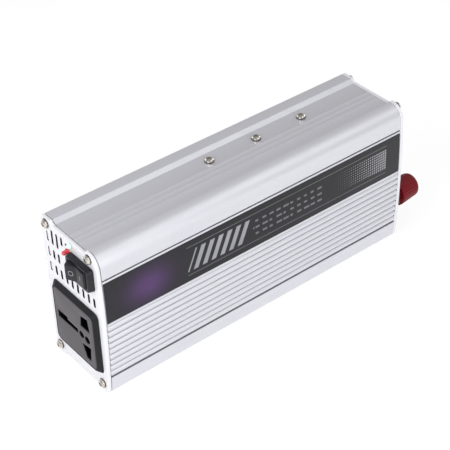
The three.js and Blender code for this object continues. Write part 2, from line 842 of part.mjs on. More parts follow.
function addSocket() {
  addPiece("socket_housing", socketHousing(), materials.socketShell);
  addPiece("socket_face", socketFace(), materials.socketFace);
  contactHoles.forEach(({ name, shares }) => {
    addPiece(`socket_contact_${name}`, socketContact(shares), materials.brass);
  });
}

const pivotX = -plateOuter - seatGap - bezelProud + pivotInset;

// Bezel, body and terminal tabs of the switch, with the chamber that the rocker swings in.
function switchBezel() {
  const back = -plateOuter - seatGap;
  const front = back - bezelProud;
  const rear = back + switchBodyDepth;
  const rim = { width: bezelWidth - 2 * bezelTaper, height: bezelHeight - 2 * bezelTaper };
  const bezel = loftX([
    { x: front, outline: roundedRectangle(switchY, switchZ, rim.width, rim.height, bezelCorner) },
    { x: back, outline: roundedRectangle(switchY, switchZ, bezelWidth, bezelHeight, bezelCorner) },
  ]);
  const width = rockerWidth + 2 * bezelWall;
  const height = rockerHeight + 2 * bezelWall;
  const body = prismX(rectangle(switchY, switchZ, width, height), back - ribSink, rear);
  const chamber = prismX(
    rectangle(switchY, switchZ, rockerWidth, rockerHeight), front - cutOver, back + switchChamber);
  const tabs = [-1, 1].map((side) => {
    const middle = switchY + (side * switchTabSpacing) / 2;
    const outline = rectangle(middle, switchZ, switchTabThickness, switchTabWidth);
    return prismX(outline, rear - ribSink, rear + switchTabLength);
  });
  const reach = rockerHeight / 2 + pivotLength;
  const pivotHole = prismZ(circle(pivotX, switchY, pivotRadius + slip), switchZ - reach, switchZ + reach);
  return cutAll(joinAll([bezel, body, ...tabs]), [chamber, pivotHole]);
}

// The rocker, tilted to its off position: its back end stands out.
function switchRocker() {
  const tipAngle = THREE.MathUtils.radToDeg(Math.asin(rockerTip / rockerRadius));
  const heelAngle = THREE.MathUtils.radToDeg(Math.asin(rockerUnder / rockerRadius));
  const outline = [
    new THREE.Vector2(-rockerMiddle, 0),
    ...arcPoints(0, 0, rockerRadius, 90 + tipAngle, 90 - heelAngle, rockerArcSteps),
    ...arcPoints(0, 0, rockerRadius, heelAngle - 90, -90 - tipAngle, rockerArcSteps),
  ].reverse();
  const tilt = degrees(rockerHalfTravel);
  const swung = outline.map((p) => p.rotateAround(new THREE.Vector2(), tilt));
  const placed = swung.map((p) => new THREE.Vector2(pivotX + p.x, switchY + p.y));
  const half = rockerHeight / 2 - slip;
  const pins = prismZ(
    circle(pivotX, switchY, pivotRadius), switchZ - half - pivotLength, switchZ + half + pivotLength);
  return prismZ(placed, switchZ - half, switchZ + half).add(pins);
}

function lamp({ y, z, proud, inside }) {
  const dome = arcPoints(0, proud - lampRadius, lampRadius, 0, 90, domeSteps).slice(0, domeSteps);
  return turned([
    [0, -inside], [lampRadius, -inside], [lampRadius, 0], [lampFlangeRadius, 0],
    [lampFlangeRadius, lampFlange], [lampRadius, lampFlange],
    ...dome.map((p) => [p.x, p.y]), [0, proud],
  ], new THREE.Vector3(-plateOuter - seatGap, y, z), outletWay, smallSides);
}

const collarOuter = plateOuter + seatGap + collarLength;
const washerInner = collarOuter + seatGap + studFlange + seatGap;
const knobInner = washerInner + washerThickness + seatGap;
const studEnd = plateInner - studInside;

function terminalCollar(place) {
  const foot = -spigotLength;
  return turned([
    [0, foot], [spigotRadius, foot], [spigotRadius, 0], [collarRadius, 0],
    [collarRadius, collarLength - collarChamfer], [collarRadius - collarChamfer, collarLength],
    [0, collarLength],
  ], place, batteryWay).subtract(
    bar(studRadius + slip, foot - cutOver, collarLength + cutOver, place, batteryWay));
}

function terminalStud(place) {
  const flange = collarLength + seatGap;
  const inside = studEnd - place.x;
  return turned([
    [0, inside], [studRadius, inside], [studRadius, flange], [studFlangeRadius, flange],
    [studFlangeRadius, flange + studFlange], [studRadius, flange + studFlange],
    [studRadius, studOutside], [0, studOutside],
  ], place, batteryWay, smallSides);
}

// The screw cap: fluted, a little tapered, rounded at its end, and bored from inside.
function terminalKnob(place) {
  const shoulder = knobLength - knobRound;
  const end = arcPoints(knobTopRadius - knobRound, shoulder, knobRound, 0, 90, domeSteps);
  const body = turned([
    [0, 0], [knobRadius, 0], ...end.map((p) => [p.x, p.y]), [0, knobLength],
  ], place, batteryWay, knobSides);
  const flutes = times(knobFlutes, (i) => {
    const angle = (2 * Math.PI * i) / knobFlutes;
    const rim = ([radius, along]) => {
      const reach = radius + fluteRadius - fluteDepth;
      const middle = new THREE.Vector2(reach * Math.cos(angle), reach * Math.sin(angle));
      return { x: place.x + along, outline: circle(place.y + middle.x, place.z + middle.y, fluteRadius) };
    };
    return loftX([rim([knobRadius, -cutOver]), rim([knobTopRadius, knobLength + cutOver])]);
  });
  const bore = bar(studRadius + slip, -cutOver, knobBoreDepth, place, batteryWay);
  return cutAll(body, [...flutes, bore]);
}

function terminalLead({ y, padHeightShare }) {
  const startX = studEnd - seatGap;
  const endY = boardFaceY - seatGap;
  const padX = caseLength * leadPadLengthShare;
  const padZ = caseHeight * padHeightShare;
  const path = new THREE.CubicBezierCurve3(
    new THREE.Vector3(startX, y, terminalZ),
    new THREE.Vector3(startX - leadReach, y, terminalZ),
    new THREE.Vector3(padX, endY - leadRise, padZ),
    new THREE.Vector3(padX, endY, padZ),
  );
  const shape = new THREE.Shape(circle(0, 0, leadRadius, leadSides));
  return solidOf(new THREE.ExtrudeGeometry(shape, { steps: leadSteps, extrudePath: path }));
}

function addTerminals() {
  terminals.forEach((terminal) => {
    const at = (x) => new THREE.Vector3(x, terminal.y, terminalZ);
    const seat = at(plateOuter + seatGap);
    const washerSeat = at(washerInner);
    const washer = bar(washerRadius, 0, washerThickness, washerSeat, batteryWay, roundSides);
    const washerHole = bar(studRadius + slip, -cutOver, washerThickness + cutOver, washerSeat, batteryWay);
    const nut = bar(nutAcross / Math.sqrt(3), -nutThickness, 0, at(plateInner - seatGap), batteryWay, 6);
    const nutHole = bar(
      studRadius + slip, -nutThickness - cutOver, cutOver, at(plateInner - seatGap), batteryWay);
    addPiece(`${terminal.name}_terminal_collar`, terminalCollar(seat), terminal.look);
    addPiece(`${terminal.name}_terminal_stud`, terminalStud(seat), materials.brass);
    addPiece(`${terminal.name}_terminal_washer`, washer.subtract(washerHole), materials.screw);
    addPiece(`${terminal.name}_terminal_knob`, terminalKnob(at(knobInner)), terminal.look);
    addPiece(`${terminal.name}_terminal_nut`, nut.subtract(nutHole), materials.screw);
    addPiece(`${terminal.name}_battery_lead`, terminalLead(terminal), terminal.look);
  });
}

const fanOuter = plateInner - seatGap;
const fanInner = fanOuter - fanDepth;

// The fan's square frame, with its motor base on four struts and a bearing tube.
function fanFrame() {
  const place = new THREE.Vector3(fanInner, fanY, fanZ);
  const square = prismX(roundedRectangle(fanY, fanZ, fanSize, fanSize, fanCorner), fanInner, fanOuter);
  const airway = prismX(circle(fanY, fanZ, fanBore, knobSides), fanInner - cutOver, fanOuter + cutOver);
  const screwHoles = fanHoles.map(({ y, z }) => (
    prismX(circle(y, z, screwRadius + slip), fanInner - cutOver, fanOuter + cutOver)));
  const struts = times(strutCount, (i) => {
    const turn = (2 * Math.PI * i) / strutCount;
    const strut = rectangle((fanBore + strutSink) / 2, 0, fanBore + strutSink, strutWidth);
    const swung = strut.map((p) => p.rotateAround(new THREE.Vector2(), turn));
    const outline = swung.map((p) => new THREE.Vector2(p.x + fanY, p.y + fanZ));
    return prismX(outline, fanInner, fanInner + motorBase);
  });
  const base = bar(hubRadius, 0, motorBase, place, batteryWay, roundSides);
  const tube = bar(tubeRadius, 0, motorBase + tubeLength, place, batteryWay);
  const tubeBore = bar(shaftRadius + slip, motorBase, motorBase + tubeLength + cutOver, place, batteryWay);
  const open = cutAll(square, [airway, ...screwHoles]);
  return joinAll([open, ...struts, base, tube]).subtract(tubeBore);
}

// One fan blade: cambered sections wrapped round the axis, from inside the hub to the tip.
function fanBlade(turn, middleX) {
  const root = hubRadius - bladeSink;
  const loops = times(bladeStations, (i) => {
    const share = i / (bladeStations - 1);
    const radius = THREE.MathUtils.lerp(root, fanBore - bladeTipGap, share);
    const half = THREE.MathUtils.lerp(bladeRootChord, bladeTipChord, share) / 2;
    const pitch = degrees(THREE.MathUtils.lerp(bladeRootPitch, bladeTipPitch, share));
    const skin = bladeThickness / 2;
    const section = [
      [-half, -skin], [0, bladeCamber - skin], [half, -skin],
      [half, skin], [0, bladeCamber + skin], [-half, skin],
    ];
    return section.map(([along, up]) => {
      const around = along * Math.cos(pitch) - up * Math.sin(pitch);
      const axial = along * Math.sin(pitch) + up * Math.cos(pitch);
      const angle = turn + degrees(bladeSweep) * share + around / radius;
      return new THREE.Vector3(
        middleX + axial, fanY + radius * Math.cos(angle), fanZ + radius * Math.sin(angle));
    });
  });
  return loft(loops);
}

function fanRotor() {
  const start = motorBase + motorClear;
  const end = start + hubLength;
  const place = new THREE.Vector3(fanInner, fanY, fanZ);
  const hub = turned([
    [0, start], [hubRadius, start], [hubRadius, end - hubEdge], [hubRadius - hubEdge, end], [0, end],
  ], place, batteryWay, knobSides);
  const cup = bar(hubRadius - hubWall, start - cutOver, end - hubWall, place, batteryWay, roundSides);
  const shaft = bar(shaftRadius, start, end - hubWall / 2, place, batteryWay);
  const blades = times(bladeCount, (i) => (
    fanBlade((2 * Math.PI * i) / bladeCount, fanInner + (start + end) / 2)));
  return joinAll([joinAll([hub, ...blades]).subtract(cup), shaft]);
}

function addFan() {
  addPiece("fan_frame", fanFrame(), materials.blackPlastic);
  addPiece("fan_rotor", fanRotor(), materials.blackPlastic);
  fanHoles.forEach(({ y, z }, i) => {
    const place = new THREE.Vector3(plateOuter + seatGap, y, z);
    addPiece(`fan_screw_${i + 1}`, screw(place, batteryWay, fanScrewLength), materials.screw);
  });
}

function circuitBoard() {
  const low = innerBottom + boardEdgeInset;
  const high = innerTop - boardEdgeInset;
  const from = boardOutletInset - caseEnd;
  const to = caseEnd - boardBatteryInset;
  const outline = rectangle((from + to) / 2, (low + high) / 2, to - from, high - low);
  return prismFront(outline, boardFaceY + boardThickness, boardThickness);
}

// A power transistor flat under the top wall, with its legs towards the board.
function powerTransistor(x) {
  const high = innerTop - seatGap;
  const low = high - transistorHeight;
  const body = prismZ(rectangle(x, transistorY, transistorWidth, transistorDepth), low, high);
  const legs = times(legCount, (i) => {
    const legX = x + (i - (legCount - 1) / 2) * legPitch;
    const from = transistorY + transistorDepth / 2 - ribSink;
    const to = boardFaceY - seatGap;
    const outline = rectangle(legX, (from + to) / 2, legWidth, to - from);
    return prismZ(outline, low + legRise - legThickness / 2, low + legRise + legThickness / 2);
  });
  return joinAll([body, ...legs]);
}

function addClamp() {
  const high = innerTop - seatGap - transistorHeight - seatGap;
  const first = clampScrewX[0] - barOverhang;
  const last = clampScrewX[clampScrewX.length - 1] + barOverhang;
  const outline = rectangle((first + last) / 2, clampScrewY, last - first, barWidth);
  const holes = clampScrewX.map((x) => (
    prismZ(circle(x, clampScrewY, screwRadius + slip), high - barThickness - cutOver, high + cutOver)));
  addPiece("clamp_bar", cutAll(prismZ(outline, high - barThickness, high), holes), materials.aluminium);
  clampScrewX.forEach((x, i) => {
    const place = new THREE.Vector3(x, clampScrewY, floorZ + seatGap);
    addPiece(`clamp_screw_${i + 1}`, screw(place, upWay, clampScrewLength), materials.screw);
  });
  clampScrewX.slice(1).forEach((x, span) => transistorShares.forEach((share, i) => {
    const middle = THREE.MathUtils.lerp(clampScrewX[span], x, share);
    const number = span * transistorShares.length + i + 1;
    addPiece(`power_transistor_${number}`, powerTransistor(middle), materials.blackPlastic);
  }));
}

// A shell core with two windows, and a coil round its middle leg.
function addTransformers() {
  const windowWidth = (coreSize - 2 * coreLeg - coreCentre) / 2;
  const coilWall = windowWidth - 2 * slip;
  const coreBack = boardFaceY - seatGap - coilWall - slip;
  const windowHeight = coreSize - 2 * coreLeg;
  transformerX.forEach((x, i) => {
    const windows = [-1, 1].map((side) => {
      const middle = x + (side * (coreCentre + windowWidth)) / 2;
      const opening = rectangle(middle, transformerZ, windowWidth, windowHeight);
      return prismFront(opening, coreBack + cutOver, coreDepth + 2 * cutOver);
    });
    const block = prismFront(rectangle(x, transformerZ, coreSize, coreSize), coreBack, coreDepth);
    const middleY = coreBack - coreDepth / 2;
    const inner = rectangle(x, middleY, coreCentre + 2 * slip, coreDepth + 2 * slip);
    const outer = roundedRectangle(
      x, middleY, coreCentre + 2 * (slip + coilWall), coreDepth + 2 * (slip + coilWall), coilCorner);
    const half = windowHeight / 2 - slip;
    const bore = prismZ(inner, transformerZ - half - cutOver, transformerZ + half + cutOver);
    const coil = prismZ(outer, transformerZ - half, transformerZ + half).subtract(bore);
    addPiece(`transformer_core_${i + 1}`, cutAll(block, windows), materials.ferrite);
    addPiece(`transformer_coil_${i + 1}`, coil, materials.copper);
  });
}

function capacitor(lengthShare) {
  const neck = capacitorRadius - capacitorGroove;
  const place = new THREE.Vector3(
    caseLength * lengthShare, boardFaceY - seatGap, caseHeight * capacitorHeightShare);
  return turned([
    [0, 0], [capacitorRadius, 0],
    [capacitorRadius, capacitorGrooveAt - capacitorGroove], [neck, capacitorGrooveAt],
    [capacitorRadius, capacitorGrooveAt + capacitorGroove],
    [capacitorRadius, capacitorLength - capacitorEdge], [capacitorRadius - capacitorEdge, capacitorLength],
    [0, capacitorLength],
  ], place, frontWay);
}

function choke() {
  const ring = new THREE.TorusGeometry(chokeRadius, chokeTube, smallSides, smallSides);
  ring.rotateX(Math.PI / 2);
  return solidOf(ring.translate(
    caseLength * chokeLengthShare, boardFaceY - seatGap - chokeTube, caseHeight * chokeHeightShare));
}

// A blade fuse in its holder: a block with a narrower top.
function bladeFuse(heightShare) {
  const x = caseLength * fuseLengthShare;
  const z = caseHeight * heightShare;
  const back = boardFaceY - seatGap;
  const outline = [
    [-fuseWidth / 2, 0], [fuseWidth / 2, 0], [fuseWidth / 2, fuseHeight - fuseShoulder],
    [fuseWidth / 2 - fuseShoulder, fuseHeight], [fuseShoulder - fuseWidth / 2, fuseHeight],
    [-fuseWidth / 2, fuseHeight - fuseShoulder],
  ].map(([across, out]) => new THREE.Vector2(x + across, back - out)).reverse();
  return prismZ(outline, z - fuseThickness / 2, z + fuseThickness / 2);
}

function boardHeatsink() {
  const back = boardFaceY - seatGap;
  const from = -heatsinkLength / 2;
  const to = heatsinkLength / 2;
  const height = (heatsinkFins - 1) * heatsinkFinPitch + heatsinkFinThickness;
  const z = transformerZ + coreSize / 2 + heatsinkRise + height / 2;
  const base = prismX(rectangle(back - heatsinkBase / 2, z, heatsinkBase, height), from, to);
  const fins = times(heatsinkFins, (i) => {
    const middle = z + (i - (heatsinkFins - 1) / 2) * heatsinkFinPitch;
    return prismX(rectangle(back - heatsinkDepth / 2, middle, heatsinkDepth, heatsinkFinThickness), from, to);
  });
  return joinAll([base, ...fins]);
}

function addBoardParts() {
  addPiece("circuit_board", circuitBoard(), materials.board);
  addClamp();
  addTransformers();
  capacitorLengthShares.forEach((share, i) => (
    addPiece(`capacitor_${i + 1}`, capacitor(share), materials.sleeve)));
  fuseHeightShares.forEach((share, i) => addPiece(`fuse_${i + 1}`, bladeFuse(share), materials.fuse));
  addPiece("choke", choke(), materials.copper);
  addPiece("board_heatsink", boardHeatsink(), materials.aluminium);
}

addPiece("main_housing", mainHousing(), materials.whiteMetal);
addPiece("back_cover", backCover(), materials.whiteMetal);
addPiece("ac_end_plate", outletPlate(), materials.plate);
addPiece("dc_end_plate", batteryPlate(), materials.plate);
addPiece("label_plate", labelStrip(0, labelThickness, caseEnd - labelEndGap, 0), materials.label);
addPlateScrews();
addSocket();
addPiece("switch_bezel", switchBezel(), materials.blackPlastic);
addPiece("switch_rocker", switchRocker(), materials.blackPlastic);
lamps.forEach((place) => addPiece(place.name, lamp(place), place.look));
addTerminals();
addFan();
addBoardParts();

const box = new THREE.Box3().setFromObject(root);
root.position.set(-(box.min.x + box.max.x) / 2, -(box.min.y + box.max.y) / 2, -box.min.z);

export default root;
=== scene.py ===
import json
import math
import bmesh
import bpy
from mathutils import Matrix, Vector
from mathutils.geometry import delaunay_2d_cdt


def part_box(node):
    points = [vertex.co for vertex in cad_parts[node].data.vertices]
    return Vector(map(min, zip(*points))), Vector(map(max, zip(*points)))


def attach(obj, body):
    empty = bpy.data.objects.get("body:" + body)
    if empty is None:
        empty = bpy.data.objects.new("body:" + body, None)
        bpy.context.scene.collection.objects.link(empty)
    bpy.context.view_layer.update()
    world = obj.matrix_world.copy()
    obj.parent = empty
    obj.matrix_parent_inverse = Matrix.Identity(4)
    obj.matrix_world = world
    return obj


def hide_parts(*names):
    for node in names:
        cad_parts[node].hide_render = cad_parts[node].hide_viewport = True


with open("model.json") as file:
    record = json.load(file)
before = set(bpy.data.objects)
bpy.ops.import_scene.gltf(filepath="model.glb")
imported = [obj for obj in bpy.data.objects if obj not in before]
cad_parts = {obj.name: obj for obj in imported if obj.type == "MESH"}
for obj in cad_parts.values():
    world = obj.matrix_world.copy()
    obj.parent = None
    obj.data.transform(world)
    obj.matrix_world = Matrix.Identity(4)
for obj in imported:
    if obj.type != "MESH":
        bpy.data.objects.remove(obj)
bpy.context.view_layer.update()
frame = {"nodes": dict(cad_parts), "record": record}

# Sizes are in millimetres: x along the case from its middle, y towards its back, z up from its bottom
mm = 0.001
caseLow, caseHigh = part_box("main_housing")
pi = math.pi

case = {
    "length": 250, "height": 111.3, "back": 29, "frontEdge": 30.6, "bulge": 1.8,
    "topCorner": 10.4, "bottomCorner": 4, "backCorner": 1.5, "recess": 2.4,
    "railFoot": 16.3, "railSlope": 3, "lipFlat": 1, "edgeSoftness": 0.35,
    "ribHeight": 0.35, "ribWidth": 1.6, "ribPitch": 4.75, "firstRib": 1.2, "ribs": 3,
    "finPitch": 4.78, "fins": 9, "finDepth": 2.1, "finSteps": 14, "lowGroove": 14.2,
    "grooveWidth": 1.2, "grooveDepth": 2.8, "highGroove": 93.2, "beadDepth": 0.35,
    "labelLow": 59.9, "labelHigh": 90.8, "labelInset": 0.7, "labelSlip": 0.3,
    "wall": 2.4, "frontWall": 3.6, "railBlock": 7, "railBlockStart": 19.3,
    "coverSlotBack": 27.7, "coverSlotFront": 25.3, "coverSlotDepth": 3,
    "backSteps": 6, "topSteps": 24, "lowSteps": 10, "frontSteps": 8, "innerSteps": 10,
}


def at(x, y, z):
    middleX = (caseLow.x + caseHigh.x) / 2
    return Vector((middleX + x * mm, caseHigh.y + (y - case["back"]) * mm, caseLow.z + z * mm))


# Outlines

def arc(centreA, centreB, radius, start, end, steps):
    turns = [math.radians(start + (end - start) * i / steps) for i in range(steps + 1)]
    return [Vector((centreA + radius * math.cos(t), centreB + radius * math.sin(t))) for t in turns]


def circle(centreA, centreB, radius, sides):
    return arc(centreA, centreB, radius, 0, 360, sides)[:-1]


def roundedBox(centreA, centreB, width, height, corner, steps=6):
    a = width / 2 - corner
    b = height / 2 - corner
    loop = []
    for quarter, (sideA, sideB) in enumerate([(1, 1), (-1, 1), (-1, -1), (1, -1)]):
        start = 90 * quarter
        loop += arc(centreA + sideA * a, centreB + sideB * b, corner, start, start + 90, steps)
    return loop


def counterclockwise(loop):
    area = sum(a.x * b.y - b.x * a.y for a, b in zip(loop, loop[1:] + loop[:1]))
    return loop if area > 0 else loop[::-1]


# The smallest divisor of a mitre, the turn in degrees below which a corner stays plain, and the largest
# share of a side that a curve takes
bends = {"mitre": 0.35, "plainTurn": 25, "sideShare": 0.4}


def inset(loop, distance):
    # Moves each corner of a counterclockwise loop inwards
    moved = []
    for i, point in enumerate(loop):
        before = (point - loop[i - 1]).normalized()
        after = (loop[(i + 1) % len(loop)] - point).normalized()
        normal = Vector((-before.y - after.y, before.x + after.x))
        moved.append(point + normal * distance / max(1 + before.dot(after), bends["mitre"]))
    return moved


def softened(loop, radius, steps=3):
    # Rounds the sharp corners of a loop
    soft = []
    for i, point in enumerate(loop):
        back = loop[i - 1] - point
        ahead = loop[(i + 1) % len(loop)] - point
        turn = pi - back.angle(ahead)
        if turn < math.radians(bends["plainTurn"]):
            soft.append(point)
            continue
        longest = bends["sideShare"] * min(back.length, ahead.length)
        reach = min(radius * math.tan(turn / 2), longest)
        start = point + back.normalized() * reach
        end = point + ahead.normalized() * reach
        for step in range(steps + 1):
            t = step / steps
            soft.append(start * (1 - t) ** 2 + point * 2 * t * (1 - t) + end * t ** 2)
    return soft


def frontY(z):
    across = (z - case["height"] / 2) / (case["height"] / 2 - case["bottomCorner"])
    return -case["frontEdge"] - case["bulge"] * (1 - across * across)


def frontRun(high, low, steps, push=0):
    heights = [high + (low - high) * i / steps for i in range(steps + 1)]
    return [Vector((frontY(z) + push, z)) for z in heights]


def caseOutline(front):
    # Rails at the back, lips at the front, and a recessed floor between them on both narrow sides
    top = case["height"]
    cornerZ = top - case["topCorner"]
    cornerY = frontY(cornerZ) + case["topCorner"]
    lipY = cornerY + case["lipFlat"]
    lowY = frontY(case["bottomCorner"]) + case["bottomCorner"]
    railY = case["railFoot"] + case["railSlope"]
    backY = case["back"] - case["backCorner"]
    floorZ = top - case["recess"]
    half = case["ribWidth"] / 2
    ribs = []
    for i in range(case["ribs"]):
        middle = case["firstRib"] - i * case["ribPitch"]
        ribs += [Vector((middle + half, floorZ)), Vector((middle, floorZ + case["ribHeight"])),
                 Vector((middle - half, floorZ))]
    return [
        *arc(backY, top - case["backCorner"], case["backCorner"], 0, 90, case["backSteps"]),
        Vector((railY, top)), Vector((case["railFoot"], floorZ)),
        *(ribs if front else []),
        Vector((lipY, floorZ)), Vector((lipY, top)),
        *arc(cornerY, cornerZ, case["topCorner"], 90, 180, case["topSteps"]),
        *(front if front else frontRun(cornerZ, case["bottomCorner"], case["topSteps"])[1:-1]),
        *arc(lowY, case["bottomCorner"], case["bottomCorner"], 180, 270, case["lowSteps"]),
        Vector((lipY, 0)), Vector((lipY, case["recess"])),
        Vector((case["railFoot"], case["recess"])), Vector((railY, 0)),
        *arc(backY, case["backCorner"], case["backCorner"], 270, 360, case["backSteps"]),
    ]


def frontFeatures():
    # Down the front: dark line, bead, label recess, round fins and the lower dark line
    half = case["grooveWidth"] / 2
    slot = case["grooveDepth"]
    high = case["labelHigh"] + case["labelSlip"]
    low = case["labelLow"] - case["labelSlip"]
    lineTop = case["highGroove"] + half
    lineLow = case["highGroove"] - half
    finTop = case["lowGroove"] + case["fins"] * case["finPitch"]
    points = frontRun(case["height"] - case["topCorner"], lineTop, case["frontSteps"])[1:]
    points += [Vector((frontY(z) + slot, z)) for z in (lineTop, lineLow)]
    for step in range(case["frontSteps"] + 1):
        turn = pi * step / case["frontSteps"]
        z = lineLow + (high - lineLow) * (1 - math.cos(turn)) / 2
        points.append(Vector((frontY(z) + case["beadDepth"] * (1 - math.sin(turn)), z)))
    points += frontRun(high, low, 2 * case["frontSteps"], case["labelInset"])
    points += frontRun(low, finTop + half, 2)
    for fin in reversed(range(case["fins"])):
        valley = case["lowGroove"] + fin * case["finPitch"]
        for step in range(case["finSteps"]):
            turn = pi * (1 - step / case["finSteps"])
            z = valley + case["finPitch"] * (1 - math.cos(turn)) / 2
            if z > case["lowGroove"] + half:
                points.append(Vector((frontY(z) + case["finDepth"] * (1 - math.sin(turn)), z)))
    lowTop = case["lowGroove"] + half
    lowEnd = case["lowGroove"] - half
    points.append(Vector((frontY(lowTop) + case["finDepth"] / 3, lowTop)))
    points += [Vector((frontY(z) + slot, z)) for z in (lowTop, lowEnd)]
    return points + frontRun(lowEnd, case["bottomCorner"], case["frontSteps"])[:-1]


def housingOutline():
    top = case["height"]
    innerTop = top - case["recess"] - case["wall"]
    innerLow = case["recess"] + case["wall"]
    corner = case["topCorner"] - case["frontWall"]
    cornerY = frontY(innerTop - corner) + case["frontWall"] + corner
    block = case["railBlock"]
    slotTop = block - case["coverSlotDepth"]
    rail = [(case["back"], block), (case["coverSlotBack"], block), (case["coverSlotBack"], slotTop),
            (case["coverSlotFront"], slotTop), (case["coverSlotFront"], block),
            (case["railBlockStart"], block), (case["railBlockStart"], innerLow)]
    hollow = [Vector(point) for point in rail]
    hollow += reversed(frontRun(innerTop - corner, innerLow, case["innerSteps"], case["frontWall"]))
    hollow += reversed(arc(cornerY, innerTop - corner, corner, 90, 180, case["innerSteps"])[:-1])
    hollow += [Vector((y, top - z)) for y, z in reversed(rail)]
    return softened(caseOutline(frontFeatures()) + hollow, case["edgeSoftness"])


# Mesh makers

weldDistance = 1e-7
fillTolerance = 1e-6
sharpAngles = {"usual": 32, "case": 28, "screw": 38, "rocker": 40, "knob": 50}


def quarterRound(radius, steps):
    # A rounded edge from the flat end to the side: how far each step is in, and how deep
    turns = [pi / 2 * i / steps for i in range(steps + 1)]
    return [(radius * (1 - math.sin(t)), radius * (1 - math.cos(t))) for t in turns]


def quadsBetween(mesh, ringA, ringB, slotIndex=0):
    count = len(ringA)
    for i in range(count):
        face = mesh.faces.new((ringA[i], ringA[(i + 1) % count], ringB[(i + 1) % count], ringB[i]))
        face.smooth = True
        face.material_index = slotIndex


def isInside(point, loop):
    # Counts the edges that a ray to the right crosses
    if not (min(p.x for p in loop) < point.x < max(p.x for p in loop)):
        return False
    crossings = 0
    for a, b in zip(loop, loop[1:] + loop[:1]):
        if (a.y > point.y) != (b.y > point.y):
            crossings += point.x < a.x + (b.x - a.x) * (point.y - a.y) / (b.y - a.y)
    return crossings % 2 == 1


def fillFlat(mesh, rings):
    # Triangles between the outer ring and the rings of the holes
    points = [p for flat, _ in rings for p in flat]
    corners = [v for _, ring in rings for v in ring]
    edges = []
    start = 0
    for flat, _ in rings:
        edges += [(start + i, start + (i + 1) % len(flat)) for i in range(len(flat))]
        start += len(flat)
    found, _, triangles, sources, _, _ = delaunay_2d_cdt(points, edges, [], 1, fillTolerance)
    holes = [flat for flat, _ in rings[1:]]
    for triangle in triangles:
        middle = sum((found[i] for i in triangle), Vector((0, 0))) / 3
        if not any(isInside(middle, hole) for hole in holes):
            mesh.faces.new([corners[sources[i][0]] for i in triangle])


def roundedPrism(outline, outside, inside, place, holes=(), edgeRound=0, holeRound=0, steps=3,
                 pan=None, corner=0):
    # A slab of an outline with holes, rounded along its edges and along the holes' rims.
    # A pan is hollow from inside: its rim has the full depth, its skin with the holes is thin.
    # The holes' straight walls take the second material.
    mesh = bmesh.new()
    ends = ([], [])
    deeper = 1 if inside > outside else -1
    floor = outside + deeper * pan["skin"] if pan else inside
    loops = [(outline, edgeRound, 1, inside)] + [(hole, holeRound, -1, floor) for hole in holes]
    for loop, radius, side, end in loops:
        rise = quarterRound(radius, steps) if radius else [(0, 0)]
        sections = [(narrow, outside + deeper * deep) for narrow, deep in rise]
        if pan and side == -1:
            sections.append((0, end))
        else:
            sections += [(narrow, end - deeper * deep) for narrow, deep in reversed(rise)]
        if pan and side == 1:
            sections += [(pan["rim"], inside), (pan["rim"], floor)]
        outer = counterclockwise(loop)
        flatRings = [inset(outer, side * narrow) for narrow, _ in sections]
        if corner:
            flatRings = [softened(flat, max(corner - side * narrow, 0.05))
                         for flat, (narrow, _) in zip(flatRings, sections)]
        rings = [[mesh.verts.new(place(p.x, p.y, depth)) for p in flat]
                 for flat, (_, depth) in zip(flatRings, sections)]
        for index, (ringA, ringB) in enumerate(zip(rings, rings[1:])):
            isWall = side == -1 and index >= len(rise) - 1
            quadsBetween(mesh, ringA, ringB, 1 if isWall else 0)
        ends[0].append((flatRings[0], rings[0]))
        ends[1].append((flatRings[-1], rings[-1]))
    for rings in ends:
        fillFlat(mesh, rings)
    return mesh


def ringStack(rings):
    # A closed skin through equal rings, with flat ends
    mesh = bmesh.new()
    rows = [[mesh.verts.new(p) for p in ring] for ring in rings]
    for ringA, ringB in zip(rows, rows[1:]):
        quadsBetween(mesh, ringA, ringB)
    mesh.faces.new(rows[0])
    mesh.faces.new(rows[-1])
    return mesh


def lathe(profile, centre, way, sides, flute=None, closed=False):
    # Turns (radius, distance) points round an axis. A flute changes every ring's radius with the angle.
    mesh = bmesh.new()
    across = way.orthogonal().normalized()
    other = way.cross(across)
    rows = []
    for radius, along in profile:
        if radius == 0:
            rows.append([mesh.verts.new(centre + way * along * mm)])
            continue
        ring = []
        for i in range(sides):
            angle = 2 * pi * i / sides
            reach = radius - (flute(angle, along) if flute else 0)
            out = across * math.cos(angle) + other * math.sin(angle)
            ring.append(mesh.verts.new(centre + (out * reach + way * along) * mm))
        rows.append(ring)
    pairs = list(zip(rows, rows[1:])) + ([(rows[-1], rows[0])] if closed else [])
    for ringA, ringB in pairs:
        if len(ringA) == 1 or len(ringB) == 1:
            tip, ring = (ringA, ringB) if len(ringA) == 1 else (ringB, ringA)
            for i in range(sides):
                mesh.faces.new((tip[0], ring[i], ring[(i + 1) % sides])).smooth = True
        else:
            quadsBetween(mesh, ringA, ringB)
    return mesh


def newObject(name, data):
    made = bpy.data.objects.new(name, data)
    bpy.context.scene.collection.objects.link(made)
    return made


def settle(name, data, sharp, body, nodes):
    data.set_sharp_from_angle(angle=math.radians(sharpAngles[sharp]))
    piece = newObject(name, data)
    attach(piece, body)
    if nodes:
        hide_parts(*nodes)


def addPiece(name, mesh, body, slotName, nodes=(), sharp="usual", material=None, holeMaterial=None):
    bmesh.ops.remove_doubles(mesh, verts=mesh.verts, dist=weldDistance)
    bmesh.ops.recalc_face_normals(mesh, faces=mesh.faces)
    data = bpy.data.meshes.new(name)
    mesh.to_mesh(data)
    mesh.free()
    data.materials.append(material or materials[slotName])
    if holeMaterial:
        data.materials.append(holeMaterial)
    settle(name, data, sharp, body, nodes)


# Shader node helpers

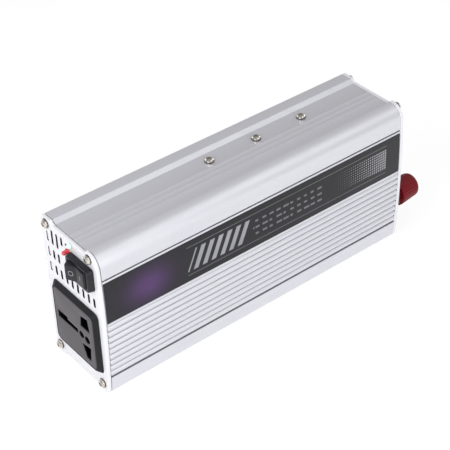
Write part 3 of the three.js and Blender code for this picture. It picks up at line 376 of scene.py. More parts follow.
class Wire:
    # A number in a node tree that can be calculated with
    def __init__(self, tree, socket):
        self.tree = tree
        self.socket = socket

    def do(self, operation, *values):
        node = addNode(self.tree, "ShaderNodeMath", {"operation": operation})
        for socket, value in zip(node.inputs, (self, *values)):
            put(self.tree, socket, value)
        return Wire(self.tree, node.outputs[0])

    def __add__(self, other):
        return self.do("ADD", other)

    def __sub__(self, other):
        return self.do("SUBTRACT", other)

    def __mul__(self, other):
        return self.do("MULTIPLY", other)

    def __truediv__(self, other):
        return self.do("DIVIDE", other)

    def __pow__(self, other):
        return self.do("POWER", other)


def put(tree, socket, value):
    if isinstance(value, Wire):
        value = value.socket
    if isinstance(value, bpy.types.NodeSocket):
        tree.links.new(value, socket)
    else:
        socket.default_value = value


def addNode(tree, kind, settings=None, **values):
    node = tree.nodes.new(kind)
    for key, value in (settings or {}).items():
        setattr(node, key, value)
    for key, value in values.items():
        put(tree, node.inputs[key.replace("_", " ")], value)
    return node


def mixColour(tree, factor, colourA, colourB, blend="MIX"):
    node = addNode(tree, "ShaderNodeMix", {"data_type": "RGBA", "blend_type": blend})
    for index, value in ((0, factor), (6, colourA), (7, colourB)):
        put(tree, node.inputs[index], value)
    return node.outputs[2]


def shaded(tree, base, shade):
    shades = addNode(tree, "ShaderNodeCombineColor", None, Red=shade, Green=shade, Blue=shade)
    return mixColour(tree, 1.0, base, shades.outputs[0], "MULTIPLY")


def rampBetween(value, low, high, kind="SMOOTHSTEP"):
    node = addNode(value.tree, "ShaderNodeMapRange", {"interpolation_type": kind},
                   Value=value, From_Min=low, From_Max=high)
    return Wire(value.tree, node.outputs[0])


def between(value, low, high, edge=0.12):
    return rampBetween(value, low - edge, low + edge) * rampBetween(value, high + edge, high - edge)


def noiseOf(tree, vector, scale, detail, roughness=0.55):
    node = addNode(tree, "ShaderNodeTexNoise", None,
                   Vector=vector, Scale=scale, Detail=detail, Roughness=roughness)
    return Wire(tree, node.outputs["Fac"])


def newGroup(name, inputs, outputs, kind="ShaderNodeTree"):
    group = bpy.data.node_groups.new(name, kind)
    for way, sockets in (("INPUT", inputs), ("OUTPUT", outputs)):
        for title, socketType in sockets:
            group.interface.new_socket(title, in_out=way, socket_type=socketType)
    return group, group.nodes.new("NodeGroupInput").outputs, group.nodes.new("NodeGroupOutput").inputs


numberType, colourType, vectorType = "NodeSocketFloat", "NodeSocketColor", "NodeSocketVector"
handling = {"grainDetail": 2.0, "smudgeDetail": 5.0, "smudgeRoughness": 0.62, "patchLow": 0.42,
            "patchHigh": 0.72, "dulling": 0.35}
drawing = {"stretch": (0.012, 1.0, 1.0), "detail": 4.0, "roughness": 0.7}


def makeHandledSurface():
    # Fine grain and soft smudges, which every finish has in its own strength
    group, given, out = newGroup("handledSurface", [
        ("Place", vectorType), ("Colour", colourType), ("Smudge Colour", colourType),
        ("Roughness", numberType), ("Grain Scale", numberType), ("Grain", numberType),
        ("Smudge Scale", numberType), ("Smudge", numberType),
    ], [("Colour", colourType), ("Roughness", numberType), ("Height", numberType)])
    grain = noiseOf(group, given["Place"], given["Grain Scale"], handling["grainDetail"])
    smudge = noiseOf(group, given["Place"], given["Smudge Scale"], handling["smudgeDetail"],
                     handling["smudgeRoughness"])
    patches = rampBetween(smudge, handling["patchLow"], handling["patchHigh"])
    worn = mixColour(group, patches * given["Smudge"], given["Colour"], given["Smudge Colour"])
    uneven = (grain - 0.5) * given["Grain"]
    dulled = patches * given["Smudge"] * handling["dulling"] + given["Roughness"]
    put(group, out["Colour"], shaded(group, worn, uneven + 1))
    put(group, out["Roughness"], uneven + dulled)
    put(group, out["Height"], grain)
    return group


def makeDrawnLines():
    # Faint lines along x, as an extrusion die or a brush leaves them
    group, given, out = newGroup("drawnLines", [
        ("Place", vectorType), ("Scale", numberType), ("Strength", numberType),
    ], [("Shade", numberType)])
    spread = addNode(group, "ShaderNodeVectorMath", {"operation": "MULTIPLY"})
    put(group, spread.inputs[0], given["Place"])
    put(group, spread.inputs[1], drawing["stretch"])
    lines = noiseOf(group, spread.outputs[0], given["Scale"], drawing["detail"], drawing["roughness"])
    put(group, out["Shade"], (lines - 0.5) * given["Strength"] + 1)
    return group


handledSurface = makeHandledSurface()
drawnLines = makeDrawnLines()


def addGroup(tree, group, **values):
    return addNode(tree, "ShaderNodeGroup", {"node_tree": group}, **values).outputs


def finish(name, values, recolour=None):
    # A material from a look's values. A recolour function may change its colour first.
    material = bpy.data.materials.new(name)
    material.use_nodes = True
    tree = material.node_tree
    shader = tree.nodes["Principled BSDF"]
    place = addNode(tree, "ShaderNodeTexCoord").outputs["Object"]
    base = (*values["colour"], 1.0)
    if recolour:
        base = recolour(tree, place, base)
    surface = addGroup(tree, handledSurface, Place=place, Colour=base,
                       Smudge_Colour=(*values["smudgeColour"], 1.0), Roughness=values["roughness"],
                       Grain_Scale=values["grainScale"], Grain=values["grain"],
                       Smudge_Scale=values["smudgeScale"], Smudge=values["smudge"])
    tone = surface["Colour"]
    if values["lines"]:
        lines = addGroup(tree, drawnLines, Place=place, Scale=values["lineScale"], Strength=values["lines"])
        tone = shaded(tree, tone, lines["Shade"])
    bump = addNode(tree, "ShaderNodeBump", None, Height=surface["Height"],
                   Strength=values["bump"], Distance=values["bumpDepth"] * mm)
    for title, value in (("Base Color", tone), ("Roughness", surface["Roughness"]),
                         ("Normal", bump.outputs[0]), ("Metallic", values["metallic"]),
                         ("Specular IOR Level", values["specular"]), ("Coat Weight", values["coat"]),
                         ("Coat Roughness", values["coatRoughness"])):
        put(tree, shader.inputs[title], value)
    return material


def look(colour, smudgeColour, roughness, **more):
    values = {"grain": 0.04, "grainScale": 2200.0, "smudge": 0.25, "smudgeScale": 28.0, "bump": 0.15,
              "bumpDepth": 0.05, "lines": 0, "metallic": 0, "specular": 0.5, "coat": 0, "coatRoughness": 0.1}
    return {**values, "colour": colour, "smudgeColour": smudgeColour, "roughness": roughness, **more}


# Label design

label = {
    "glowX": -92, "glowZ": 74, "glowWidth": 15, "glowHeight": 11, "glowColour": (0.135, 0.058, 0.21, 1),
    "glowShare": 0.6, "inkColour": (0.40, 0.40, 0.43, 1), "inkShare": 0.85, "dimInk": 0.5, "lineWidth": 0.4,
    "barStart": -62, "barEnd": -17, "barLow": 67.5, "barHigh": 83.5, "barPitch": 7.2, "barFrom": 0.03,
    "barTo": 0.55, "barEdge": 0.015, "barLean": 0.45,
    "lineStart": -62, "lineEnd": 112, "lineLow": 64.6, "lineHigh": 86.4,
    "dashStart": -8, "dashEnd": 52, "dashLow": 68, "dashHigh": 83, "dashPitch": 6, "dashLeast": 0.35,
    "dashSpread": 0.5, "rowPitch": 5, "rowFrom": 0.3, "rowTo": 0.6, "rowEdge": 0.03, "rowSeed": 17,
    "dotStart": 62, "dotEnd": 112, "dotLow": 67.5, "dotHigh": 83.5, "dotPitch": 2, "dotSize": 0.44,
    "dotEdge": 0.06,
}


def axisOf(tree, place, axis):
    # One of the case's own coordinates, in millimetres
    split = addNode(tree, "ShaderNodeSeparateXYZ", None, Vector=place).outputs
    return (Wire(tree, split[axis.upper()]) - getattr(at(0, 0, 0), axis)) * (1 / mm)


def labelColours(tree, place, base):
    x = axisOf(tree, place, "x")
    z = axisOf(tree, place, "z")
    glowX = (x - label["glowX"]) / label["glowWidth"]
    glowZ = (z - label["glowZ"]) / label["glowHeight"]
    glow = ((glowX ** 2 + glowZ ** 2) * -1).do("EXPONENT")

    def patch(along, side):
        across = between(along, label[side + "Start"], label[side + "End"])
        return across * between(z, label[side + "Low"], label[side + "High"])

    upright = x - (z - label["barLow"]) * label["barLean"]
    barPhase = (upright / label["barPitch"]).do("FRACT")
    bars = patch(upright, "bar") * between(barPhase, label["barFrom"], label["barTo"], label["barEdge"])

    # Each dash has its own length, from white noise on its row and column
    column = x / label["dashPitch"]
    row = (z - label["dashLow"]) / label["rowPitch"]
    cell = row.do("FLOOR") * label["rowSeed"] + column.do("FLOOR")
    chance = addNode(tree, "ShaderNodeTexWhiteNoise", {"noise_dimensions": "1D"}, W=cell).outputs["Value"]
    inked = column.do("FRACT").do("LESS_THAN", Wire(tree, chance) * label["dashSpread"] + label["dashLeast"])
    thin = between(row.do("FRACT"), label["rowFrom"], label["rowTo"], label["rowEdge"])
    dashes = patch(x, "dash") * inked * thin

    # Dots grow along the field
    offX, offZ = [(value / label["dotPitch"]).do("FRACT") - 0.5 for value in (x, z)]
    reach = (offX ** 2 + offZ ** 2).do("SQRT")
    radius = rampBetween(x, label["dotStart"], label["dotEnd"], "LINEAR") * label["dotSize"]
    dots = patch(x, "dot") * rampBetween(radius - reach, -label["dotEdge"], label["dotEdge"])

    half = label["lineWidth"] / 2
    low, high = [between(z, label[edge] - half, label[edge] + half) for edge in ("lineLow", "lineHigh")]
    lines = (low + high) * between(x, label["lineStart"], label["lineEnd"])

    ink = (bars + dots + (dashes + lines) * label["dimInk"]).do("MINIMUM", 1)
    lit = mixColour(tree, glow * label["glowShare"], base, label["glowColour"])
    return mixColour(tree, ink * label["inkShare"], lit, label["inkColour"])


# Colours of the painted shade in the fin valleys and the line grooves on the case's front
grooveShade = {"valley": (0.42, 0.42, 0.46, 1), "line": (0.12, 0.12, 0.13, 1), "valleyShare": 0.16,
               "frontOf": -26, "endRoom": 0.5, "lineEdge": 0.05}


def paintedCaseShade(tree, place, base):
    # Painted shade: darker colour in the valleys between the fins and in the two line grooves, where shade
    # falls
    z = axisOf(tree, place, "z")
    front = axisOf(tree, place, "y").do("LESS_THAN", grooveShade["frontOf"])
    finTop = case["lowGroove"] + case["fins"] * case["finPitch"]
    away = ((z - case["lowGroove"]) / case["finPitch"]).do("PINGPONG", 0.5)
    valleys = rampBetween(away, grooveShade["valleyShare"], 0)
    valleys = valleys * between(z, case["lowGroove"], finTop + grooveShade["endRoom"])
    half = case["grooveWidth"] / 2
    low, high = [between(z, case[edge] - half, case[edge] + half, grooveShade["lineEdge"])
                 for edge in ("lowGroove", "highGroove")]
    tone = mixColour(tree, valleys * front, base, grooveShade["valley"])
    return mixColour(tree, (low + high) * front, tone, grooveShade["line"])


# Finishes: one for each of the record's slots, and three for details

finishes = {
    "case_metal": look((0.70, 0.70, 0.75), (0.61, 0.61, 0.67), 0.38, metallic=0.5, grain=0.05,
                       grainScale=900.0, smudge=0.16, lines=0.04, lineScale=900.0, coat=0.15,
                       coatRoughness=0.3),
    "plate_metal": look((0.82, 0.82, 0.86), (0.72, 0.72, 0.77), 0.38, metallic=0.1, grain=0.04,
                        grainScale=1200.0, smudge=0.14, coat=0.2, coatRoughness=0.25),
    "label": look((0.022, 0.022, 0.025), (0.034, 0.034, 0.038), 0.45, specular=0.18, grain=0.10,
                  grainScale=3000.0, smudge=0.2, coat=0.08, coatRoughness=0.25),
    "screw_steel": look((0.72, 0.68, 0.63), (0.30, 0.26, 0.22), 0.2, metallic=1.0, smudge=0.5,
                        smudgeScale=260.0),
    "terminal_brass": look((0.66, 0.50, 0.24), (0.42, 0.28, 0.12), 0.3, metallic=1.0, smudgeScale=160.0),
    "outlet_shell": look((0.010, 0.010, 0.013), (0.025, 0.025, 0.03), 0.45, specular=0.22, bump=0.35,
                         grainScale=1800.0),
    "outlet_face": look((0.080, 0.073, 0.082), (0.112, 0.104, 0.116), 0.5, grain=0.12, bump=0.5,
                        grainScale=1700.0, smudge=0.35),
    "switch_plastic": look((0.014, 0.0135, 0.017), (0.04, 0.038, 0.042), 0.32, grain=0.06, specular=0.3),
    "red_plastic": look((0.165, 0.006, 0.011), (0.22, 0.02, 0.03), 0.4, grain=0.05, specular=0.15),
    "black_plastic": look((0.022, 0.022, 0.025), (0.05, 0.05, 0.055), 0.3, grain=0.05, coat=0.3),
    "fan_plastic": look((0.020, 0.020, 0.023), (0.05, 0.05, 0.055), 0.45, grain=0.1, bump=0.3),
    "board": look((0.020, 0.105, 0.050), (0.05, 0.16, 0.08), 0.4, grain=0.2, grainScale=600.0),
    "bare_aluminium": look((0.60, 0.61, 0.63), (0.45, 0.46, 0.48), 0.32, metallic=1.0, lines=0.2,
                           lineScale=1200.0),
    "ferrite": look((0.035, 0.035, 0.037), (0.08, 0.08, 0.085), 0.7, grain=0.25, bump=0.5),
    "winding": look((0.42, 0.17, 0.06), (0.28, 0.10, 0.04), 0.3, metallic=0.85, lines=0.6, lineScale=2600.0),
    "sleeve": look((0.018, 0.024, 0.060), (0.05, 0.06, 0.10), 0.3, coat=0.3),
    "fuse_body": look((0.03, 0.26, 0.06), (0.06, 0.32, 0.10), 0.25, coat=0.2),
    "package": look((0.022, 0.022, 0.024), (0.05, 0.05, 0.055), 0.55, grain=0.2, bump=0.3),
}
# Painted glow: the indicator lamps are unlit, and the lenses' faint emission stands in for light seen inside
# their clear plastic
lenses = {
    "red_lens": {"colour": (0.52, 0.03, 0.05), "glow": (1.0, 0.10, 0.14, 1), "strength": 0.12},
    "pale_lens": {"colour": (0.70, 0.86, 0.80), "glow": (0.75, 1.0, 0.90, 1), "strength": 0.08},
}


def makeLens(name, values):
    clear = values["colour"]
    material = finish(name, look(clear, clear, 0.12, grain=0.02, coat=0.5))
    shader = material.node_tree.nodes["Principled BSDF"]
    # Painted glow of an unlit lens
    shader.inputs["Emission Color"].default_value = values["glow"]
    shader.inputs["Emission Strength"].default_value = values["strength"]
    return material


recolours = {"label": labelColours, "case_metal": paintedCaseShade}
materials = {name: finish(name, values, recolours.get(name)) for name, values in finishes.items()}
materials.update({name: makeLens(name, values) for name, values in lenses.items()})
markInk = finish("mark_ink", look((0.36, 0.36, 0.40), (0.3, 0.3, 0.33), 0.4))
darkSteel = finish("dark_steel", look((0.10, 0.09, 0.085), (0.05, 0.045, 0.04), 0.4, metallic=0.8))
# Painted shade: near-black walls in the end plates' holes stand in for the shade inside the case
paintedHoleShade = finish("painted_hole_shade", look((0.012, 0.012, 0.014), (0.025, 0.025, 0.03), 0.7, specular=0.2))
for subpart in frame["record"]["subparts"]:
    node = frame["nodes"][subpart["node"]]
    node.data.materials.clear()
    node.data.materials.append(materials[subpart["material_slot"]])
print("Finishes are on the CAD nodes")


# Geometry node helpers

materialType = "NodeSocketMaterial"


def newTree(name, inputs):
    geometry = ("Geometry", "NodeSocketGeometry")
    return newGroup(name, [geometry, *inputs], [geometry], "GeometryNodeTree")


def closeTree(tree, geometry, out, paints):
    # Ends a tree: its instances become real, then each finish goes on its own faces
    whole = addNode(tree, "GeometryNodeRealizeInstances", None, Geometry=geometry).outputs[0]
    for material, faces in paints:
        whole = addNode(tree, "GeometryNodeSetMaterial", None, Geometry=whole, Material=material,
                        Selection=faces).outputs[0]
    put(tree, out[0], whole)


def joined(tree, *parts):
    node = tree.nodes.new("GeometryNodeJoinGeometry")
    for part in parts:
        tree.links.new(part, node.inputs[0])
    return node.outputs[0]


def bakedPiece(name, source, tree, values, body, nodes, sharp, marks=()):
    # Runs a tree on a source mesh and keeps the result as a plain mesh
    holder = newObject(name + "_source", source)
    modifier = holder.modifiers.new("shape", "NODES")
    modifier.node_group = tree
    sockets = {item.name: item.identifier for item in tree.interface.items_tree
               if item.item_type == "SOCKET" and item.in_out == "INPUT"}
    for title, value in values.items():
        modifier[sockets[title]] = value
    holder.update_tag()
    graph = bpy.context.evaluated_depsgraph_get()
    graph.update()
    data = bpy.data.meshes.new_from_object(holder.evaluated_get(graph))
    holder.modifiers.clear()
    bpy.data.objects.remove(holder)
    for mark in marks:
        data.attributes.remove(data.attributes[mark])
    data.name = name
    data.shade_smooth()
    settle(name, data, sharp, body, nodes)


def meshOfPoints(name, points, faces=()):
    data = bpy.data.meshes.new(name)
    data.from_pydata([tuple(p) for p in points], [], faces)
    return data


# Extruded case

mergeDistance = 1e-6


def extrusionTree():
    tree, given, out = newTree("caseExtrusion", [("Length", numberType), ("Finish", materialType)])
    away = addNode(tree, "ShaderNodeCombineXYZ", None, X=given["Length"])
    pulled = addNode(tree, "GeometryNodeExtrudeMesh", {"mode": "FACES"},
                     Mesh=given["Geometry"], Offset=away.outputs[0], Offset_Scale=1.0, Individual=False)
    start = addNode(tree, "GeometryNodeFlipFaces", None, Mesh=given["Geometry"])
    whole = addNode(tree, "GeometryNodeMergeByDistance", None,
                    Geometry=joined(tree, pulled.outputs["Mesh"], start.outputs[0]),
                    Distance=mergeDistance)
    closeTree(tree, whole.outputs[0], out, [(given["Finish"], True)])
    return tree


def addHousing():
    loop = counterclockwise(housingOutline())
    start = [at(-case["length"] / 2, p.x, p.y) for p in loop]
    section = meshOfPoints("case_section", start, [tuple(range(len(loop)))])
    bakedPiece("housing", section, extrusionTree(),
               {"Length": case["length"] * mm, "Finish": materials["case_metal"]},
               "case", ["main_housing"], "case")


film = {"thickness": 0.4, "steps": 20, "edgeRound": 0.08}


def overPlate(y, z, x):
    return at(x, y, z)


def addLabel():
    strip = frontRun(case["labelHigh"], case["labelLow"], film["steps"])
    strip += reversed(frontRun(case["labelHigh"], case["labelLow"], film["steps"], film["thickness"]))
    end = case["length"] / 2 - film["thickness"]
    mesh = roundedPrism(strip, -end, end, overPlate, edgeRound=film["edgeRound"], steps=2)
    addPiece("label_film", mesh, "case", "label", ["label_plate"])


addHousing()
addLabel()
print("Case and label are made")


# End plates

plate = {"thickness": 2.6, "gap": 0.3, "edgeRound": 0.6, "rimRound": 0.2, "pan": {"skin": 0.8, "rim": 0.9},
         "screwHole": 1.6, "screwSides": 16, "screws": [(23.4, 107.4), (-23.2, 107.4), (-25, 7), (23.4, 7)]}
plateInner = case["length"] / 2 + plate["gap"]
plateOuter = plateInner + plate["thickness"]
vents = {
    "width": 2.3, "round": 1, "roundSteps": 4, "start": 23.2, "pitch": 5.35, "lowPitch": 5.96,
    # First column, pitch, count, and both ends as shares of the case's height
    "rows": [(0, "lowPitch", 9, 0.628, 0.694), (0, "pitch", 3, 0.737, 0.801), (0, "pitch", 1, 0.844, 0.912),
             (1, "pitch", 2, 0.841, 0.944), (3, "pitch", 1, 0.89, 0.949), (4, "pitch", 1, 0.916, 0.936)],
}
outlet = {
    "y": -2.6, "z": 0.363 * case["height"], "base": 50, "proud": 3, "depth": 26, "shell": 1.6, "slip": 0.3,
    "ledge": 2.3, "rimWall": 0.8, "corner": 4, "rimRound": 0.5, "rimSteps": 4, "bodyCorner": 1,
    "hollowCorner": 2, "insert": 43.4, "insertCorner": 3, "insertThickness": 2.5, "faceRound": 0.35,
    "holeRound": 0.3, "facePan": {"skin": 1, "rim": 1}, "faceCorner": 0.5, "pinSides": 28,
}
switch = {
    "y": -15, "z": 92.94, "width": 24.8, "height": 17.2, "proud": 4.1, "taper": 0.5, "corner": 1.8,
    "wall": 1, "depth": 16, "chamber": 8, "rimRound": 0.5, "rimSteps": 5, "innerRound": 0.4,
    "innerSteps": 3, "bodyCorner": 0.5, "holeRoom": 2.6, "rockerWidth": 19.4, "rockerHeight": 12.5,
    "slip": 0.3, "tip": 5.2, "middle": 3.1, "under": 3, "tilt": 11, "pivotInset": 2.4, "rockerRound": 0.7,
    "rockerSteps": 5, "rockerCorner": 0.6, "endSteps": 8,
}
lamps = [
    {"name": "fault", "y": -0.2, "z": 99.64, "proud": 4.3, "inside": 9, "slot": "red_lens"},
    {"name": "power", "y": -3.6, "z": 105.9, "proud": 2.6, "inside": 2.8, "slot": "pale_lens"},
]
lampSize = {"radius": 1.5, "flangeRadius": 2.1, "flange": 1, "soft": 0.2, "slip": 0.3, "sides": 32,
            "holeSides": 20, "domeSteps": 8}
guard = {"y": -1, "z": 76, "hub": 7.4, "slot": 3.6, "bar": 1.6, "rings": 3, "spoke": 3, "spokes": 4,
         "spokeTurn": 45, "steps": 14, "fanHoles": 40}
terminals = {"z": 28.003, "red": -19, "black": 17, "spigotHole": 5.8, "spigotSides": 32}


def screwHoles(spots):
    return [circle(y, z, plate["screwHole"], plate["screwSides"]) for y, z in spots]


def fanCorners():
    half = guard["fanHoles"] / 2
    return [(guard["y"] + a * half, guard["z"] + b * half) for a, b in ((-1, -1), (1, -1), (1, 1), (-1, 1))]


def ventHoles():
    holes = []
    for column, pitch, count, low, high in vents["rows"]:
        middle = (low + high) / 2 * case["height"]
        tall = (high - low) * case["height"]
        for i in range(count):
            y = vents["start"] - (column + i) * vents[pitch]
            holes.append(roundedBox(y, middle, vents["width"], tall, vents["round"], vents["roundSteps"]))
    return holes


def guardHoles():
    # Ring slots between the spokes
    holes = []
    for ring in range(guard["rings"]):
        inner = guard["hub"] + ring * (guard["slot"] + guard["bar"])
        outer = inner + guard["slot"]
        for spoke in range(guard["spokes"]):
            start = guard["spokeTurn"] + spoke * 360 / guard["spokes"]
            end = start + 360 / guard["spokes"]
            loop = []
            for radius, first, last in ((outer, start, end), (inner, end, start)):
                clear = math.degrees(math.asin(guard["spoke"] / 2 / radius))
                clear = clear if last > first else -clear
                loop += arc(guard["y"], guard["z"], radius, first + clear, last - clear, guard["steps"])
            holes.append(loop)
    return holes


def addPlate(name, node, side, holes):
    # Side is -1 at the outlet end and 1 at the battery end
    mesh = roundedPrism(caseOutline(None), side * plateOuter, side * plateInner, overPlate, holes,
                        plate["edgeRound"], plate["rimRound"], pan=plate["pan"], corner=case["edgeSoftness"])
    # The holes' walls take the painted shade
    addPiece(name, mesh, "case", "plate_metal", [node], holeMaterial=paintedHoleShade)


def addOutletPlate():
    body = outlet["insert"] - 2 * outlet["ledge"] + 2 * outlet["shell"] + 2 * outlet["slip"]
    holes = ventHoles() + screwHoles(plate["screws"])
    holes += [circle(lamp["y"], lamp["z"], lampSize["radius"] + lampSize["slip"], lampSize["holeSides"])
              for lamp in lamps]
    holes.append(roundedBox(outlet["y"], outlet["z"], body, body, outlet["bodyCorner"]))
    holes.append(roundedBox(switch["y"], switch["z"], switch["rockerWidth"] + switch["holeRoom"],
                            switch["rockerHeight"] + switch["holeRoom"], switch["bodyCorner"]))
    addPlate("outlet_end_plate", "ac_end_plate", -1, holes)


def addBatteryPlate():
    holes = guardHoles() + screwHoles(plate["screws"] + fanCorners())
    holes += [circle(terminals[side], terminals["z"], terminals["spigotHole"], terminals["spigotSides"])
              for side in ("red", "black")]
    addPlate("battery_end_plate", "dc_end_plate", 1, holes)


addOutletPlate()
addBatteryPlate()
print("End plates are made")


# Outlet

outletBack = -plateOuter - plate["gap"]
outletFront = outletBack - outlet["proud"]
outletHoles = {
    # Shares of the face's side, from its middle: the earth hole and the cross slot that it runs on into
    "earth": [(-0.431, 0.088), (-0.431, -0.05), (-0.178, -0.05), (-0.148, -0.042), (0.087, -0.042),
              (0.087, 0.042), (-0.178, 0.042), (-0.178, 0.088)],
    "upper": [(0.203, 0.369), (0.171, 0.166), (0.41, 0.166), (0.373, 0.396)],
    "lower": [(0.171, -0.171), (0.263, -0.401), (0.369, -0.401), (0.401, -0.138)],
}
pinHoles = [(0.177, -0.007, 0.06), (0.322, -0.02, 0.064)]


def stackOnPlate(sections, centreY, centreZ):
    # Rings of rounded rectangles, each at its own x: (x, width, height, corner)
    return ringStack([
        [at(x, p.x, p.y) for p in roundedBox(centreY, centreZ, width, height, corner)]
        for x, width, height, corner in sections])


def addOutlet():
    seat = outlet["insert"] + 2 * outlet["slip"]
    rim = seat + 2 * outlet["rimWall"]
    hollow = outlet["insert"] - 2 * outlet["ledge"]
    body = hollow + 2 * outlet["shell"]
    rear = outletBack + outlet["depth"]
    floor = outletFront + outlet["insertThickness"] + outlet["slip"]
    squares = [(rear, body, "bodyCorner"), (outletBack, body, "bodyCorner"),
               (outletBack, outlet["base"], "corner")]
    for narrow, deep in reversed(quarterRound(outlet["rimRound"], outlet["rimSteps"])):
        width = rim + (outlet["base"] - rim) * deep / outlet["proud"] - 2 * narrow
        squares.append((outletFront + deep, width, "corner"))
    squares += [(outletFront, seat, "insertCorner"), (floor, seat, "insertCorner"),
                (floor, hollow, "hollowCorner"), (rear - outlet["shell"], hollow, "hollowCorner")]
    sections = [(x, width, width, outlet[corner]) for x, width, corner in squares]
    addPiece("outlet_bezel", stackOnPlate(sections, outlet["y"], outlet["z"]), "case", "outlet_shell",
             ["socket_housing"])


def onFace(u, v):
    return Vector((outlet["y"] - u * outlet["insert"], outlet["z"] + v * outlet["insert"]))


def addOutletFace():
    holes = [[onFace(u, v) for u, v in shares] for shares in outletHoles.values()]
    for u, v, radius in pinHoles:
        holes.append(circle(*onFace(u, v), radius * outlet["insert"], outlet["pinSides"]))
    outline = roundedBox(outlet["y"], outlet["z"], outlet["insert"], outlet["insert"], outlet["insertCorner"])
    mesh = roundedPrism(outline, outletFront, outletFront + outlet["insertThickness"], overPlate, holes,
                        outlet["faceRound"], outlet["holeRound"], pan=outlet["facePan"],
                        corner=outlet["faceCorner"])
    addPiece("outlet_face", mesh, "case", "outlet_face", ["socket_face"],
             holeMaterial=materials["outlet_shell"])


addOutlet()
addOutletFace()
print("Outlet is made")


# Switch

switchTab = {"length": 8, "width": 4.8, "thickness": 0.8, "spacing": 9, "corner": 0.3, "overlap": 0.2}
offMark = {"inner": 1.5, "outer": 1.85, "sunk": 0.15, "proud": 0.04, "sides": 40}
onMark = {"width": 0.45, "height": 3.6, "corner": 0.2, "sunk": 0.15, "proud": 0.05}
pivotX = outletBack - switch["proud"] + switch["pivotInset"]


def addSwitchBezel():
    front = outletBack - switch["proud"]
    rear = outletBack + switch["depth"]
    wide, high = switch["rockerWidth"], switch["rockerHeight"]
    body = (wide + 2 * switch["wall"], high + 2 * switch["wall"], switch["bodyCorner"])
    sections = [(rear, *body), (outletBack, *body),
                (outletBack, switch["width"], switch["height"], switch["corner"])]
    for narrow, deep in reversed(quarterRound(switch["rimRound"], switch["rimSteps"])):
        less = 2 * (narrow + switch["taper"])
        sections.append((front + deep, switch["width"] - less, switch["height"] - less, switch["corner"]))
    for narrow, deep in quarterRound(switch["innerRound"], switch["innerSteps"]):
        sections.append((front + deep, wide + 2 * narrow, high + 2 * narrow, switch["bodyCorner"]))
    sections.append((outletBack + switch["chamber"], wide, high, switch["bodyCorner"]))
    addPiece("switch_frame", stackOnPlate(sections, switch["y"], switch["z"]), "case", "switch_plastic",
             ["switch_bezel"])
    for index, side in enumerate((-1, 1)):
        middle = switch["y"] + side * switchTab["spacing"] / 2
        outline = roundedBox(middle, switch["z"], switchTab["thickness"], switchTab["width"],
                             switchTab["corner"])
        tab = roundedPrism(outline, rear - switchTab["overlap"], rear + switchTab["length"], overPlate)
        addPiece(f"switch_tab_{index + 1}", tab, "case", "terminal_brass")


def rockerPoints():
    # The rocker seen from above, tilted to off: its back end stands out
    radius = switch["rockerWidth"] / 2 - switch["slip"]
    tip = math.degrees(math.asin(switch["tip"] / radius))
    heel = math.degrees(math.asin(switch["under"] / radius))
    loop = [Vector((-switch["middle"], 0))]
    loop += arc(0, 0, radius, 90 + tip, 90 - heel, switch["endSteps"])
    loop += arc(0, 0, radius, heel - 90, -90 - tip, switch["endSteps"])
    turn = Matrix.Rotation(math.radians(switch["tilt"]), 2)
    return [turn @ p + Vector((pivotX, switch["y"])) for p in loop]


def addRocker():
    half = switch["rockerHeight"] / 2 - switch["slip"]
    points = rockerPoints()
    mesh = roundedPrism(points, switch["z"] - half, switch["z"] + half, at, edgeRound=switch["rockerRound"],
                        steps=switch["rockerSteps"], corner=switch["rockerCorner"])
    addPiece("rocker_cap", mesh, "rocker", "switch_plastic", ["switch_rocker"], "rocker")
    # A ring on the raised half and a bar on the lowered one
    for tip, name, makeMark in ((points[1], "off_mark", ringMark), (points[-1], "on_mark", barMark)):
        along = (tip - points[0]).normalized()
        facing = Vector((-along.y, along.x))
        if facing.x > 0:
            facing = -facing
        mark = makeMark((points[0] + tip) / 2, along, facing)
        addPiece(name, mark, "rocker", "switch_plastic", material=markInk)


def ringMark(centre, along, facing):
    inner, outer, sunk, proud = offMark["inner"], offMark["outer"], -offMark["sunk"], offMark["proud"]
    profile = [(inner, sunk), (outer, sunk), (outer, proud), (inner, proud)]
    return lathe(profile, at(*centre, switch["z"]), facing.to_3d(), offMark["sides"], closed=True)


def barMark(centre, along, facing):
    def place(a, z, out):
        return at(*(centre + along * a + facing * out), switch["z"] + z)
    outline = roundedBox(0, 0, onMark["width"], onMark["height"], onMark["corner"], 3)
    return roundedPrism(outline, -onMark["sunk"], onMark["proud"], place)


addSwitchBezel()
addRocker()
print("Switch is made")


# Lamps

def addLamps():
    radius, flange, thick = lampSize["radius"], lampSize["flangeRadius"], lampSize["flange"]
    for lamp in lamps:
        dome = [(radius - narrow, lamp["proud"] - deep)
                for narrow, deep in reversed(quarterRound(radius, lampSize["domeSteps"])[1:])]
        profile = [(0, -lamp["inside"]), (radius, -lamp["inside"]), (radius, 0), (flange, 0),
                   (flange, thick - lampSize["soft"]), (flange - lampSize["soft"], thick),
                   (radius, thick), *dome, (0, lamp["proud"])]
        mesh = lathe(profile, at(outletBack, lamp["y"], lamp["z"]), Vector((-1, 0, 0)), lampSize["sides"])
        addPiece(f"{lamp['name']}_light", mesh, "case", lamp["slot"], [f"{lamp['name']}_lamp"])


addLamps()


# Battery terminals

